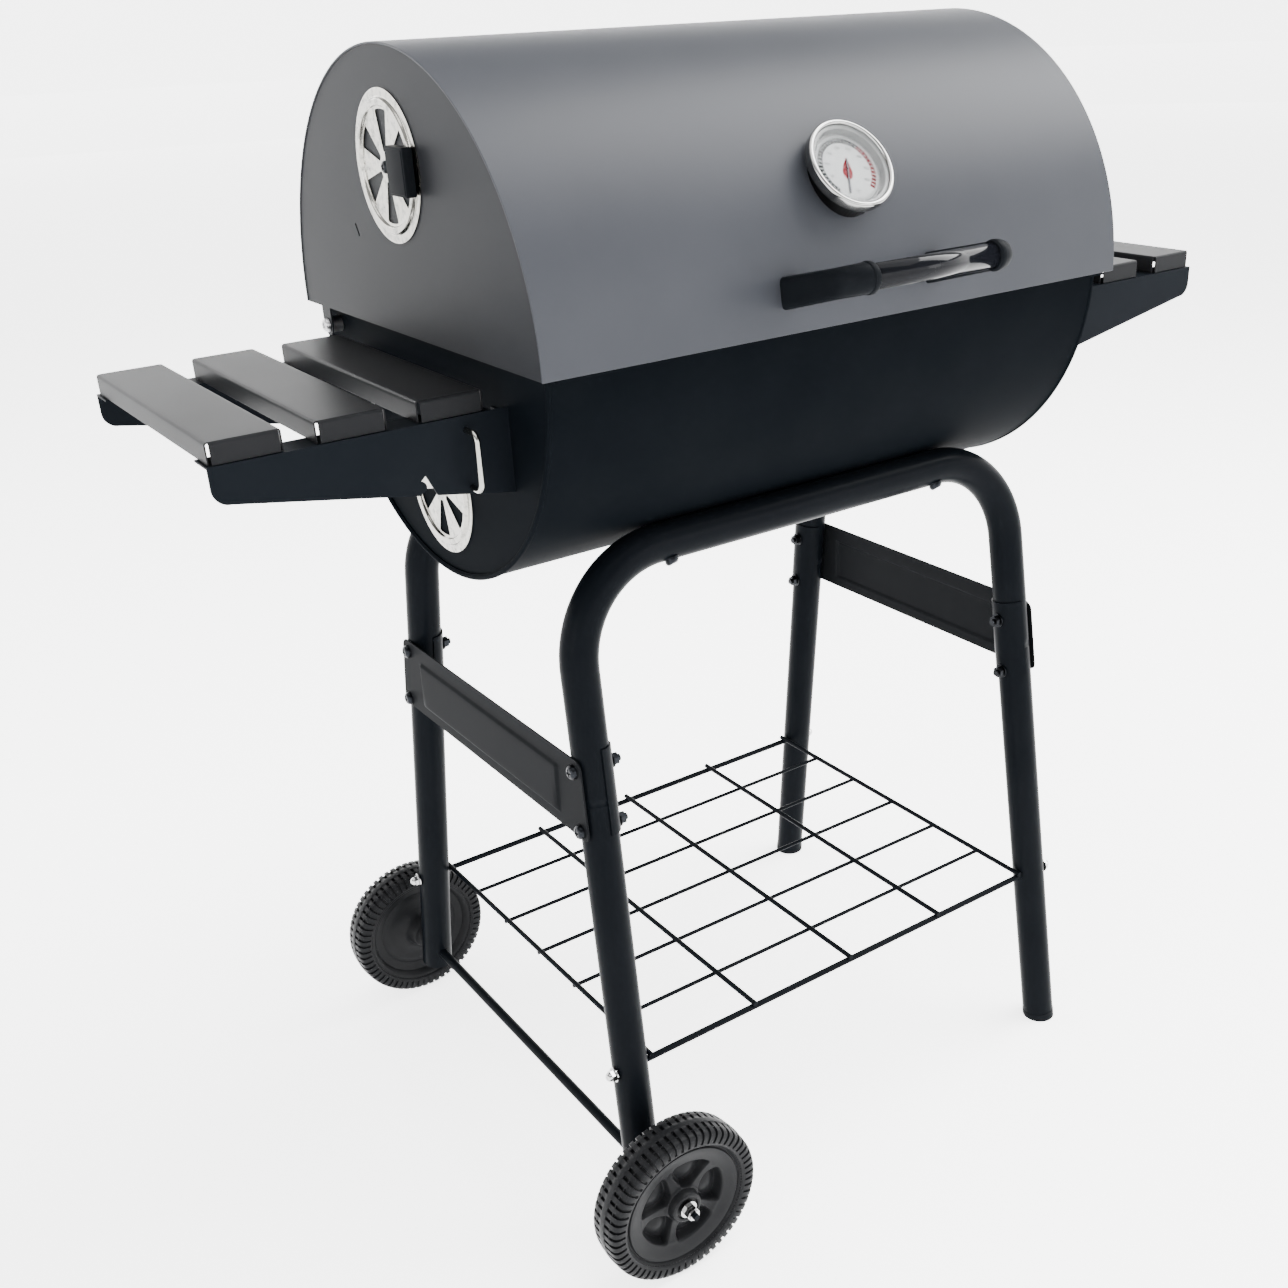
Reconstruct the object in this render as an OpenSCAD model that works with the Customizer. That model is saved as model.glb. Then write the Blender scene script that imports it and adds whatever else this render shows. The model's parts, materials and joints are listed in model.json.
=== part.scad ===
// Barrel charcoal grill on a wheeled tube cart.
// +X runs along the barrel to the user's right, -Y is the front, +Z is up.
// The origin is on the floor, below the middle of the grill.

/* [Barrel] */
// Height of the barrel's axis, and of the seam under the lid, above the floor
axis_h = 810; // [806:1:814]
// Outer radius of the lid
lid_r = 215; // [214.5:0.5:216]
// Length of the lid over its end plates
lid_len = 587; // [585:1:589]
// Outer radius of the lower barrel
tub_r = 202; // [201:0.5:202.5]
// Length of the lower barrel over its end plates
tub_len = 564; // [562:1:566]
// Thickness of the rolled sheet
sheet = 1.5; // [1.2:0.1:1.6]
// Distance of the hinge pivots behind the barrel's axis
hinge_y = 174; // [173:0.5:175]
// Distance of the hinge pivots below the seam
hinge_drop = 16; // [15:0.5:16]

/* [Lid fittings] */
// Height angle of the thermometer on the lid, in degrees above the seam
gauge_el = 30; // [28:1:40]
// How much further up the thermometer's face looks than the lid under it
gauge_tilt = 8; // [0:1:10]
// How far the thermometer is turned clockwise, as seen from outside
gauge_turn = 20; // [0:1:30]
// Outer radius of the thermometer's bezel
bezel_r = 38; // [37:0.5:39]
// Height angle of the handle's feet on the lid, in degrees
grip_el = 8.3; // [8:0.1:9]
// Distance between the middles of the handle's two arms
grip_span = 148; // [144:1:156]
// Distance of the handle's tube in front of the barrel's axis
grip_y = 290.5; // [286:0.5:292]
// Height of the handle's tube above the seam
grip_z = 50; // [46:1:52]
// Radius of the handle's tube
grip_r = 9.5; // [9:0.5:9.5]

/* [Dampers] */
// Outer radius of a damper disc
vent_r = 56; // [55:0.5:58]
// Distance of each damper's centre above or below the seam
vent_rise = 128; // [124:1:130]
// Angle that each slot takes up, in degrees
slot_angle = 26; // [22:1:27]
// Turn of the lower damper from the upper one, in degrees
lower_turn = 58; // [50:1:60]

/* [Shelves] */
// Height of the shelf tops above the floor
shelf_h = 793; // [790:1:795]
// Distance of the shelves' outer edges from the middle of the grill
shelf_reach = 508; // [506:1:512]
// Width of a slat
slat_w = 53.5; // [52:0.5:54]
// Distance from one slat to the next
slat_pitch = 77; // [77:0.5:78]
// Length of a slat
slat_len = 268; // [266:1:269]
// Depth of a slat's folded edges
slat_lip = 16; // [15:0.5:17]

/* [Cart] */
// Outer radius of the frame tube
tube_r = 16.5; // [16:0.1:16.5]
// Wall of the frame tube
tube_wall = 1.5; // [1.2:0.1:2]
// Radius of the bends at the top, on the tube's centre line
bend_r = 90; // [85:1:92]
// Distance of the top bars from the middle of the grill, to the front and the back
bar_y = 136.6; // [135:0.1:138]
// Distance of the bends' centres from the middle of the grill, along the top bars
bend_x = 157; // [156:0.5:158]
// Lean of the front and rear frames, in degrees
lean = 7.9; // [7.6:0.1:8]
// Spread of each leg within its frame, in degrees
flare = 1.7; // [1.5:0.1:1.8]
// Height of the joint between the upper and lower tubes
joint_h = 438; // [436:1:440]
// Height of the wire shelf's front and back rods
rack_h = 181; // [178:1:184]
// Distance of those rods from the middle of the grill
rack_y = 203; // [202:0.5:204]
// Radius of the wheels
wheel_r = 78.5; // [74:0.5:80]
// Width of a wheel's tread
tread_w = 38; // [36:1:40]

/* [Hidden] */

$fn = 64;
gap = 0.1;            // space left between pieces that rest on each other
pad = 1;              // how far a cut runs past the face that it cuts
charcoal = "#2b2d30";
soot = "#17181a";
plastic = "#1b1b1d";
steel = "#c9c9c6";
zinc = "#a9abae";
wire = "#1a1b1d";

lid_half = lid_len / 2;
tub_half = tub_len / 2;
lid_in = lid_r - sheet;
tub_in = tub_r - sheet;
bolt_r = 3;           // shank radius of the M6 bolts and pivots
bore_r = 3.2;         // clearance hole for an M6 bolt
pivot_fit = 0.05;     // running clearance of a part that turns on its screw

// ---- placing helpers ----

// A flat outline drawn in (Y, height above the seam), made into a plate from x to x + t.
module plate_yz(x, t) {
    translate([x, 0, axis_h]) rotate([90, 0, 90]) linear_extrude(t) children();
}

// Half a drum wall about the barrel's axis: the upper half for the lid, the lower for the firebox.
module half_wall(r_in, r_out, half_x, upper) {
    translate([0, 0, axis_h]) rotate([0, 90, 0]) rotate([0, 0, upper ? 90 : -90])
        rotate_extrude(angle = 180, $fn = 128)
            translate([r_in, -half_x]) square([r_out - r_in, 2 * half_x]);
}

module half_disc(r, upper) {
    intersection() {
        circle(r, $fn = 128);
        translate([-r - pad, upper ? 0 : -r - pad]) square([2 * (r + pad), r + pad]);
    }
}

// Local +Z points straight out of the lid at the given height angle, local +Y up along it.
module on_lid(el) {
    translate([0, 0, axis_h]) rotate([90 - el, 0, 0]) translate([0, 0, lid_r]) children();
}

// A rod or tube along X.
module rod_x(x0, x1, r) {
    translate([x0, 0, 0]) rotate([0, 90, 0]) cylinder(r = r, h = x1 - x0);
}

// A rod along Y.
module rod_y(y0, y1, r) {
    translate([0, y0, 0]) rotate([-90, 0, 0]) cylinder(r = r, h = y1 - y0);
}

module both_sides() {
    children();
    mirror([1, 0, 0]) children();
}

module front_and_back() {
    children();
    mirror([0, 1, 0]) children();
}

// ---- lid ----

pivot_tab_r = 9;

module lid_outline() {
    half_disc(lid_in - gap, true);
    translate([hinge_y - pivot_tab_r, -hinge_drop]) square([2 * pivot_tab_r, hinge_drop + pad]);
    translate([hinge_y, -hinge_drop]) circle(pivot_tab_r);
}

module pivot_hole(r) {
    translate([hinge_y, -hinge_drop]) circle(r);
}

module lid_shell() {
    color(charcoal) difference() {
        half_wall(lid_in, lid_r, lid_half, true);
        on_lid(gauge_el) translate([0, 0, -20]) cylinder(r = gauge_boss_r + 0.3, h = 30);
        both_sides() arm_axis() translate([0, 0, -30]) cylinder(r = grip_screw_r + 0.3, h = 45);
    }
}

slit_y = 77;          // small lanced slit behind and below the upper damper
slit_z = 75;

module lid_end_left() {
    color(charcoal) plate_yz(-lid_half, sheet) difference() {
        lid_outline();
        pivot_hole(bolt_r + pivot_fit);
        translate([0, vent_rise]) vent_slots(30);
        translate([0, vent_rise]) circle(bore_r);
        translate([slit_y, slit_z]) rotate(-30) square([2.5, 11], center = true);
    }
}

module lid_end_right() {
    color(charcoal) plate_yz(lid_half - sheet, sheet) difference() {
        lid_outline();
        pivot_hole(bolt_r + pivot_fit);
    }
}

// ---- lid handle ----

grip_screw_r = 2.5;
arm_w = 17;           // width of an arm along the lid
arm_foot = 12.3;      // half height of an arm where it meets the lid
arm_end_r = 11;       // radius of an arm's rounded outer end
sleeve_r = 11.5;      // collar that holds the tube
sleeve_in = 62;       // distance of the collar's open end from the middle
sleeve_out = 84;
tube_seat = 74;       // how far out the tube reaches in its collars
foot_y = -(lid_r - 2) * cos(grip_el);
foot_z = (lid_r - 2) * sin(grip_el);
arm_len = norm([grip_y + foot_y, grip_z - foot_z]);
arm_dir = [-(grip_y + foot_y), grip_z - foot_z] / arm_len;

function arm_point(along, across) =
    [foot_y, foot_z] + along * arm_dir + across * [arm_dir[1], -arm_dir[0]];

// Local +Z runs out along the right arm from its foot.
module arm_axis() {
    translate([grip_span / 2, foot_y, axis_h + foot_z])
        rotate([atan2(-arm_dir[0], arm_dir[1]), 0, 0]) children();
}

module handle_arm() {
    difference() {
        union() {
            plate_yz(grip_span / 2 - arm_w / 2, arm_w) {
                difference() {
                    polygon([arm_point(-15, arm_foot), arm_point(-15, -arm_foot),
                        arm_point(arm_len, -arm_end_r), arm_point(arm_len, arm_end_r)]);
                    circle(lid_r + gap, $fn = 128);
                }
                translate([-grip_y, grip_z]) circle(arm_end_r);
            }
            translate([0, -grip_y, axis_h + grip_z]) rod_x(sleeve_in, sleeve_out, sleeve_r);
        }
        translate([0, -grip_y, axis_h + grip_z]) rod_x(sleeve_in - pad, tube_seat + gap, grip_r + gap);
        arm_axis() translate([0, 0, -10]) cylinder(r = grip_screw_r + pivot_fit, h = 36);
    }
}

module handle_arm_right() {
    color(plastic) handle_arm();
}

module handle_arm_left() {
    color(plastic) mirror([1, 0, 0]) handle_arm();
}

module handle_tube() {
    color("#202124") translate([0, -grip_y, axis_h + grip_z]) difference() {
        rod_x(-tube_seat, tube_seat, grip_r);
        rod_x(-tube_seat - pad, tube_seat + pad, grip_r - 1.2);
    }
}

// Screws from inside the lid into the arms' feet.
module handle_screws() {
    color(zinc) both_sides() arm_axis() {
        translate([0, 0, -0.5]) cylinder(r = grip_screw_r, h = 23);
        translate([0, 0, -2.9]) cylinder(r = 5, h = 2.6);
    }
}

// ---- thermometer ----

gauge_boss_r = 5;
case_r = 33;          // outer radius of the case
case_in = 31.5;
case_top = 10;        // height of the case's rim above the lid
seat_gap = 0.6;       // space between the lid and the back of the case, which a gasket fills
dial_at = 4.6;
glass_at = 10.2;

// Local +Z points out of the dial, which is tilted up from the lid's own direction.
module on_gauge() {
    lift = max(0, case_r * sin(gauge_tilt) - case_r * case_r / (2 * lid_r)) + 0.3;
    on_lid(gauge_el) translate([0, 0, lift]) rotate([-gauge_tilt, 0, 0]) children();
}

// Case whose back is cut to the lid's curve, with the boss and the stem that go through the lid.
module thermometer_case() {
    color(soot) {
        difference() {
            on_gauge() translate([0, 0, -12]) cylinder(r = case_r, h = case_top + 12);
            on_gauge() translate([0, 0, 2]) cylinder(r = case_in, h = case_top);
            translate([0, 0, axis_h]) rod_x(-60, 60, lid_r + seat_gap);
        }
        on_lid(gauge_el) {
            translate([0, 0, -14]) cylinder(r = gauge_boss_r, h = 15.5);
            translate([0, 0, -62]) cylinder(r = 3, h = 50);
        }
    }
}

module thermometer_bezel() {
    lip_r = bezel_r - 6.2;
    color(steel) on_gauge() rotate_extrude()
        polygon([[case_r + gap, 5], [bezel_r - 1, 5], [bezel_r, 6.5], [bezel_r, 11.5],
            [bezel_r - 1.4, 14.2], [bezel_r - 3.6, 15], [lip_r, 13.4], [lip_r, 12],
            [case_r + gap, 12]]);
}

module thermometer_dial() {
    color("white") on_gauge() difference() {
        translate([0, 0, dial_at]) cylinder(r = case_in - gap, h = 0.8);
        translate([0, 0, dial_at - pad]) cylinder(r = 1 + pivot_fit, h = 3);
    }
}

module thermometer_glass() {
    color("#dfe8ec", 0.4) on_gauge() translate([0, 0, glass_at])
        cylinder(r = case_r - gap, h = 1.5);
}

// Hexagon nut inside the lid on the thermometer's boss.
module thermometer_nut() {
    color(zinc) on_lid(gauge_el) difference() {
        translate([0, 0, -7.2]) cylinder(r = 8.5, h = 5.2, $fn = 6);
        translate([0, 0, -9]) cylinder(r = gauge_boss_r + gap, h = 9);
    }
}

// Needle at rest, at the cold end of the scale.
module thermometer_needle() {
    color("#222222") on_gauge() {
        translate([0, 0, dial_at - 0.8]) cylinder(r = 1, h = 3);
        rotate(-gauge_turn) translate([-0.6, -22, dial_at + 1.3]) cube([1.2, 30, 0.5]);
    }
}

// ---- dampers ----

slot_in = 11;
slot_out = 41.5;
disc_t = 0.9;
disc_gap = 0.3;       // space between a disc and the plate behind it

// Six wedge slots about the centre. The first one is turned by the given angle.
module vent_slots(turn) {
    reach = slot_out + 20;
    for (k = [0:5]) rotate(90 + turn + 60 * k) intersection() {
        difference() {
            circle(slot_out);
            circle(slot_in);
        }
        polygon([[0, 0], reach * [cos(slot_angle / 2), -sin(slot_angle / 2)],
            reach * [cos(slot_angle / 2), sin(slot_angle / 2)]]);
    }
}

// Local +Z points out of the grill's left end, local +X up and local -Y to the front.
module on_left_end(face_x, rise) {
    translate([-face_x, 0, axis_h + rise]) rotate([0, -90, 0]) children();
}

// Pressed disc: flat rim, raised bead, flat field with the six slots.
module vent_disc() {
    bead_out = vent_r - 6;
    difference() {
        rotate_extrude() polygon([[bolt_r + pivot_fit, disc_gap], [bead_out - 7.2, disc_gap],
            [bead_out - 6, disc_gap + 2], [bead_out - 1.6, disc_gap + 2],
            [bead_out - 0.4, disc_gap], [vent_r, disc_gap], [vent_r, disc_gap + disc_t],
            [bead_out, disc_gap + disc_t], [bead_out - 1.2, disc_gap + 3],
            [bead_out - 6.4, disc_gap + 3], [bead_out - 7.6, disc_gap + disc_t],
            [bolt_r + pivot_fit, disc_gap + disc_t]]);
        translate([0, 0, -pad]) linear_extrude(6) rotate(-90) vent_slots(0);
    }
}

// Block grip on the disc, on the rib that points to the front, with a foot between two slots.
module vent_knob() {
    color(plastic) {
        translate([-17.5, -55, 3.4]) cube([35, 31, 9]);
        translate([-6, -42, disc_gap + disc_t]) cube([12, 15, 2.3]);
    }
}

// Pan-head screw that a disc turns on, with its nut inside the plate.
module vent_screw() {
    color("#2a2b2d") {
        translate([0, 0, disc_gap + disc_t + gap]) cylinder(r1 = 4.6, r2 = 3.4, h = 2.6);
        translate([0, 0, -9]) cylinder(r = bolt_r, h = 10.5);
        translate([0, 0, -sheet - gap - 4.5]) difference() {
            cylinder(r = 5.8, h = 4.5, $fn = 6);
            translate([0, 0, -pad]) cylinder(r = bolt_r - 0.5, h = 7);
        }
    }
}

module upper_vent_disc() {
    color(steel) on_left_end(lid_half, vent_rise) vent_disc();
}

module upper_vent_knob() {
    on_left_end(lid_half, vent_rise) vent_knob();
}

module upper_vent_screw() {
    on_left_end(lid_half, vent_rise) vent_screw();
}

module lower_vent_disc() {
    color(steel) on_left_end(tub_half, -vent_rise) rotate(lower_turn) vent_disc();
}

module lower_vent_knob() {
    on_left_end(tub_half, -vent_rise) rotate(lower_turn) vent_knob();
}

module lower_vent_screw() {
    on_left_end(tub_half, -vent_rise) vent_screw();
}

// ---- lower barrel ----

barrel_bolt_x = 150;
bar_drop = sqrt(pow(tub_r + tube_r + gap, 2) - pow(bar_y, 2));
bar_z = axis_h - bar_drop;
bar_dir = atan2(bar_y, bar_drop);   // angle of the bolts that point at the barrel's axis

// Local +Z points from the front top bar to the barrel's axis.
module at_barrel_bolts() {
    front_and_back() both_sides() translate([barrel_bolt_x, -bar_y, bar_z])
        rotate([-bar_dir, 0, 0]) children();
}

// Lower half of the barrel, with an out-turned lip at the front that the lid's edge rests on.
module firebox_shell() {
    lip = lid_r - 0.4;
    color(soot) difference() {
        union() {
            half_wall(tub_in, tub_r, tub_half, false);
            translate([-tub_half, -lip, axis_h - sheet - 0.3]) cube([tub_len, lip - tub_in - 0.5, sheet]);
        }
        at_barrel_bolts() cylinder(r = bore_r, h = 30);
    }
}

bracket_y = slat_len / 2;           // inner face of a bracket's web
flange_w = 26;
bracket_bolt_y = bracket_y - 14;
bracket_bolt_z = [-83, -55];        // heights of the two bolts below the seam

module bracket_bolt_holes() {
    for (sy = [-1, 1], z = bracket_bolt_z) translate([sy * bracket_bolt_y, z]) circle(bore_r);
}

// End plate with a rolled rim along its curved edge.
module firebox_end() {
    plate_yz(-tub_half, sheet) difference() {
        half_disc(tub_in - gap, false);
        pivot_hole(bore_r);
        bracket_bolt_holes();
        children();
    }
    plate_yz(-tub_half - 1.6, 1.6) difference() {
        half_disc(tub_r + 1, false);
        circle(tub_in - 2.5, $fn = 128);
    }
}

module firebox_end_left() {
    color(soot) firebox_end() translate([0, -vent_rise]) {
        circle(bore_r);
        vent_slots(30 - lower_turn);
    }
}

module firebox_end_right() {
    color(soot) mirror([1, 0, 0]) firebox_end();
}

// ---- hinges ----

module at_pivots() {
    both_sides() translate([-lid_half, hinge_y, axis_h - hinge_drop]) rotate([0, 90, 0]) children();
}

// Pan-head pivot screws with nuts inside the lower barrel.
module hinge_screws() {
    reach = lid_half - tub_half + sheet;
    color(zinc) at_pivots() {
        translate([0, 0, -3.6]) cylinder(r1 = 4.4, r2 = 6, h = 3.3);
        translate([0, 0, -0.5]) cylinder(r = bolt_r, h = reach + 6);
        translate([0, 0, reach + gap]) difference() {
            cylinder(r = 5.8, h = 5, $fn = 6);
            translate([0, 0, -pad]) cylinder(r = bolt_r - 0.5, h = 8);
        }
    }
}

// Bushes that keep the lid's tabs clear of the lower barrel's rim.
module hinge_bushes() {
    color(zinc) at_pivots() difference() {
        translate([0, 0, sheet + 0.2]) cylinder(r = 7, h = lid_half - tub_half - sheet - 0.3);
        translate([0, 0, -pad]) cylinder(r = bolt_r + gap, h = 20);
    }
}

// ---- cart frame ----

// Plane of the front frame: local X along the grill, local Z up in the leaning plane.
module frame_plane() {
    translate([0, -bar_y, bar_z]) rotate([-lean, 0, 0]) children();
}

// Place in the leaning plane of a point on a leg at the given height, and how far out it is there.
function frame_v(h) = (h - bar_z) / cos(lean);
function leg_x(h) = bend_x + bend_r * cos(flare)
    + (-bend_r + bend_r * sin(flare) - frame_v(h)) * tan(flare);
function leg_y(h) = bar_y + (bar_z - h) * tan(lean);

// Local +Z runs up the right front leg, from the height h.
module on_leg(h) {
    frame_plane() translate([leg_x(h), 0, frame_v(h)]) rotate([0, -flare, 0]) children();
}

function leg_run(h0, h1) = (h1 - h0) / cos(lean) / cos(flare);

// Path of the bent top tube as a solid, from one leg joint to the other. The straight runs have
// radius r and reach a little into the bends, which have radius r_bend.
module top_path(r, r_bend, over) {
    bend_end_h = bar_z + (-bend_r + bend_r * sin(flare)) * cos(lean);
    frame_plane() rod_x(-bend_x - pad, bend_x + pad, r);
    both_sides() {
        frame_plane() translate([bend_x, 0, -bend_r]) rotate([90, 0, 0])
            rotate_extrude(angle = 90 - flare, start = flare) translate([bend_r, 0]) circle(r_bend);
        on_leg(joint_h) translate([0, 0, -over])
            cylinder(r = r, h = leg_run(joint_h, bend_end_h) + over + pad);
    }
}

// Inverted U of one bent tube, drawn 0.3 mm thinner where it is bent.
module top_tube() {
    thin = 0.3;
    difference() {
        top_path(tube_r, tube_r - thin, 0);
        top_path(tube_r - tube_wall, tube_r - tube_wall + thin, pad);
        both_sides() side_bolt_holes();
        both_sides() translate([barrel_bolt_x, -bar_y, bar_z]) rotate([-bar_dir, 0, 0])
            translate([0, 0, -30]) cylinder(r = bore_r, h = 60);
    }
}

module front_top_tube() {
    color(charcoal) top_tube();
}

module rear_top_tube() {
    color(charcoal) mirror([0, 1, 0]) top_tube();
}

axle_h = wheel_r;
axle_r = 5;
spigot = 62;          // length of a lower leg's reduced end inside the upper tube
foot_end_h = 7;       // height at which the right legs' tubes end, above their caps
wheel_leg_end_h = 60;

// Lower leg: a tube with a reduced end that slides into the upper tube.
module lower_leg(end_h) {
    spigot_r = tube_r - tube_wall - gap;
    run = leg_run(end_h, joint_h);
    difference() {
        on_leg(end_h) {
            cylinder(r = tube_r, h = run - gap);
            cylinder(r = spigot_r, h = run + spigot);
        }
        on_leg(end_h) translate([0, 0, -pad]) cylinder(r = spigot_r - tube_wall, h = run + spigot + 2 * pad);
        side_bolt_holes();
        translate([0, -rack_y, rack_h]) rod_x(200, 320, 3.3);
        children();
    }
}

module wheel_leg() {
    mirror([1, 0, 0]) lower_leg(wheel_leg_end_h)
        translate([leg_x(axle_h), 0, axle_h]) rod_y(-300, 0, axle_r + 0.2);
}

module leg_front_left() {
    color(charcoal) wheel_leg();
}

module leg_rear_left() {
    color(charcoal) mirror([0, 1, 0]) wheel_leg();
}

module leg_front_right() {
    color(charcoal) lower_leg(foot_end_h);
}

module leg_rear_right() {
    color(charcoal) mirror([0, 1, 0]) lower_leg(foot_end_h);
}

// Plastic caps under the two legs without wheels, cut flat where they stand on the floor.
module foot_caps() {
    color(plastic) front_and_back() difference() {
        on_leg(foot_end_h) {
            translate([0, 0, -12]) cylinder(r = tube_r + 0.4, h = 12 - gap);
            translate([0, 0, -1]) cylinder(r = tube_r - 2 * tube_wall - 2 * gap, h = 20);
        }
        translate([leg_x(0), -leg_y(0), -50]) cube([100, 100, 100], center = true);
    }
}

// ---- end panels, clamps and their bolts ----

side_tilt = atan(tan(flare) / cos(lean));
side_bolt_h = [470, 416];
panel_top_h = 482;
panel_bottom_h = 409;

// Plane through the two right legs: local +X outward, local Z up, from the height of the joint.
module right_side() {
    translate([leg_x(joint_h), 0, joint_h]) rotate([0, -side_tilt, 0]) children();
}

function side_z(h) = (h - joint_h) / cos(side_tilt);

module at_side_bolts() {
    for (h = side_bolt_h) right_side() translate([0, -leg_y(h), side_z(h)]) rotate([0, 90, 0]) children();
}

module side_bolt_holes() {
    at_side_bolts() translate([0, 0, -40]) cylinder(r = bore_r, h = 80);
}

module panel_corner(h, in_y, in_z) {
    translate([-leg_y(h) - 12 + in_y, side_z(h) + in_z]) circle(8, $fn = 32);
}

module panel_outline() {
    hull() {
        panel_corner(panel_top_h, 8, -8);
        panel_corner(panel_bottom_h, 8, 8);
        mirror([1, 0]) panel_corner(panel_top_h, 8, -8);
        mirror([1, 0]) panel_corner(panel_bottom_h, 8, 8);
    }
}

// Sheet panel across the outer sides of two legs, with a pressed rectangle.
module end_panel() {
    press = 2;
    press_z0 = side_z(420);
    press_z1 = side_z(466);
    difference() {
        right_side() translate([tube_r + gap, 0, 0]) difference() {
            union() {
                rotate([90, 0, 90]) linear_extrude(sheet) panel_outline();
                translate([0, -134, press_z0]) cube([sheet + press, 268, press_z1 - press_z0]);
            }
            translate([-pad, -134 + sheet, press_z0 + sheet])
                cube([press + pad, 268 - 2 * sheet, press_z1 - press_z0 - 2 * sheet]);
        }
        front_and_back() side_bolt_holes();
    }
}

module end_panel_right() {
    color(charcoal) end_panel();
}

module end_panel_left() {
    color(charcoal) mirror([1, 0, 0]) end_panel();
}

clamp_t = 1.5;

// Half sleeves on the inner sides of the four leg joints.
module leg_clamps() {
    color(charcoal) both_sides() front_and_back() difference() {
        on_leg(411) rotate_extrude(angle = 170, start = 95)
            translate([tube_r + gap, 0]) square([clamp_t, leg_run(411, 488)]);
        side_bolt_holes();
    }
}

// Pan heads outside the panels, shanks through the legs.
module frame_bolts() {
    head_at = tube_r + gap + sheet + gap;
    color(soot) both_sides() front_and_back() at_side_bolts() {
        translate([0, 0, head_at]) cylinder(r1 = 6.2, r2 = 4.4, h = 3.6);
        translate([0, 0, -head_at - 9]) cylinder(r = bolt_r, h = 2 * head_at + 9.5);
    }
}

module frame_nuts() {
    seat = tube_r + gap + clamp_t + 0.3;
    color(soot) both_sides() front_and_back() at_side_bolts() difference() {
        union() {
            translate([0, 0, -seat - 1.2]) cylinder(r = 7, h = 1.2);
            translate([0, 0, -seat - 6]) cylinder(r = 5.8, h = 5, $fn = 6);
        }
        translate([0, 0, -seat - 8]) cylinder(r = bolt_r + pivot_fit, h = 10);
    }
}

// Bolts up through the top bars into the barrel, with nuts inside it.
module barrel_bolts() {
    color(soot) at_barrel_bolts() {
        translate([0, 0, -tube_r - 3.6]) cylinder(r1 = 4.4, r2 = 6.2, h = 3.4);
        translate([0, 0, -tube_r - 0.5]) cylinder(r = bolt_r, h = 2 * tube_r + 10);
        translate([0, 0, tube_r + gap + sheet + 0.3]) difference() {
            cylinder(r = 5.8, h = 5, $fn = 6);
            translate([0, 0, -pad]) cylinder(r = bolt_r - 0.5, h = 8);
        }
    }
}

// ---- wire shelf ----

rack_rod_r = 3;
rack_wire_r = 2.5;
rack_fine_r = 2;
rack_half = 238;
rack_x = leg_x(rack_h);
rack_wire_z = rack_h + rack_rod_r + rack_wire_r - 0.8;
rack_fine_z = rack_wire_z - rack_wire_r - rack_fine_r + 0.7;

// Two rods through the legs, five wires across them and five finer ones under those.
module wire_shelf() {
    color(wire) {
        for (sy = [-1, 1]) translate([0, sy * rack_y, rack_h])
            rod_x(-rack_x - 22, rack_x + 22, rack_rod_r);
        for (i = [-2:2]) translate([i * rack_half / 2, 0, rack_wire_z])
            rod_y(-rack_y - 3.5, rack_y + 3.5, rack_wire_r);
        for (i = [-2:2]) translate([0, i * 69.5, rack_fine_z])
            rod_x(-rack_half - 1.5, rack_half + 1.5, rack_fine_r);
    }
}

// Domed nuts on the ends of the rods, outside the legs.
module shelf_cap_nuts() {
    seat = rack_x + tube_r + 1.2;
    color(steel) both_sides() front_and_back() translate([seat, rack_y, rack_h]) rotate([0, 90, 0])
        difference() {
            union() {
                cylinder(r = 7, h = 1.2);
                cylinder(r = 5.6, h = 5, $fn = 6);
                translate([0, 0, 5]) sphere(r = 4.4);
            }
            translate([0, 0, -pad]) cylinder(r = rack_rod_r + pivot_fit, h = pad + 22 - tube_r);
        }
}

// ---- axle and wheels ----

axle_x = -leg_x(axle_h);
axle_half = 303;
hub_in = 243;         // distance of a hub's inner face from the middle
hub_out = 289;
tread_in = 250;
hub_r = 14;
thread_r = 3;         // radius of the axle's threaded ends

module axle() {
    color(wire) translate([axle_x, 0, axle_h]) {
        rod_y(-hub_out, hub_out, axle_r);
        rod_y(-axle_half, axle_half, thread_r);
    }
}

// A spacer inside each wheel, and a washer and lock nut outside it.
module axle_nuts() {
    color(steel) front_and_back() translate([axle_x, 0, axle_h]) difference() {
        union() {
            rod_y(hub_in - 8, hub_in - 0.3, 8);
            rod_y(hub_out + 0.3, hub_out + 1.6, 8.4);
            translate([0, hub_out + 1.6, 0]) rotate([-90, 0, 0]) cylinder(r = 6.6, h = 7.4, $fn = 6);
            rod_y(hub_out + 9, hub_out + 11, 4.9);
        }
        rod_y(hub_in - 20, hub_in, axle_r + gap);
        rod_y(hub_in, hub_out + 20, thread_r + 0.06);
    }
}

// Moulded wheel: hub, dished web with five ribs, and a wide rim.
module wheel() {
    rim_in = 54;
    tread_out = tread_in + tread_w;
    web_in = tread_in + 14;
    translate([axle_x, 0, axle_h]) rotate([-90, 0, 0]) difference() {
        union() {
            rotate_extrude($fn = 96) polygon([[axle_r + 0.06, hub_in], [hub_r, hub_in],
                [hub_r, web_in], [rim_in, web_in], [rim_in, tread_in + 2], [rim_in + 2, tread_in],
                [wheel_r - 7, tread_in], [wheel_r, tread_in + 6], [wheel_r, tread_out - 6],
                [wheel_r - 7, tread_out], [rim_in + 2, tread_out], [rim_in, tread_out - 2],
                [rim_in - 3, web_in + 6], [hub_r, web_in + 6], [hub_r, hub_out],
                [axle_r + 0.06, hub_out]]);
            for (k = [0:4]) rotate(72 * k) translate([hub_r - 2, -4, web_in + 4])
                cube([rim_in - hub_r, 8, 8]);
        }
        translate([0, 0, hub_in - pad]) cylinder(r = axle_r + 0.06, h = 60);
    }
}

module front_wheel() {
    color(plastic) mirror([0, 1, 0]) wheel();
}

module rear_wheel() {
    color(plastic) wheel();
}

// ---- shelves ----

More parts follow.
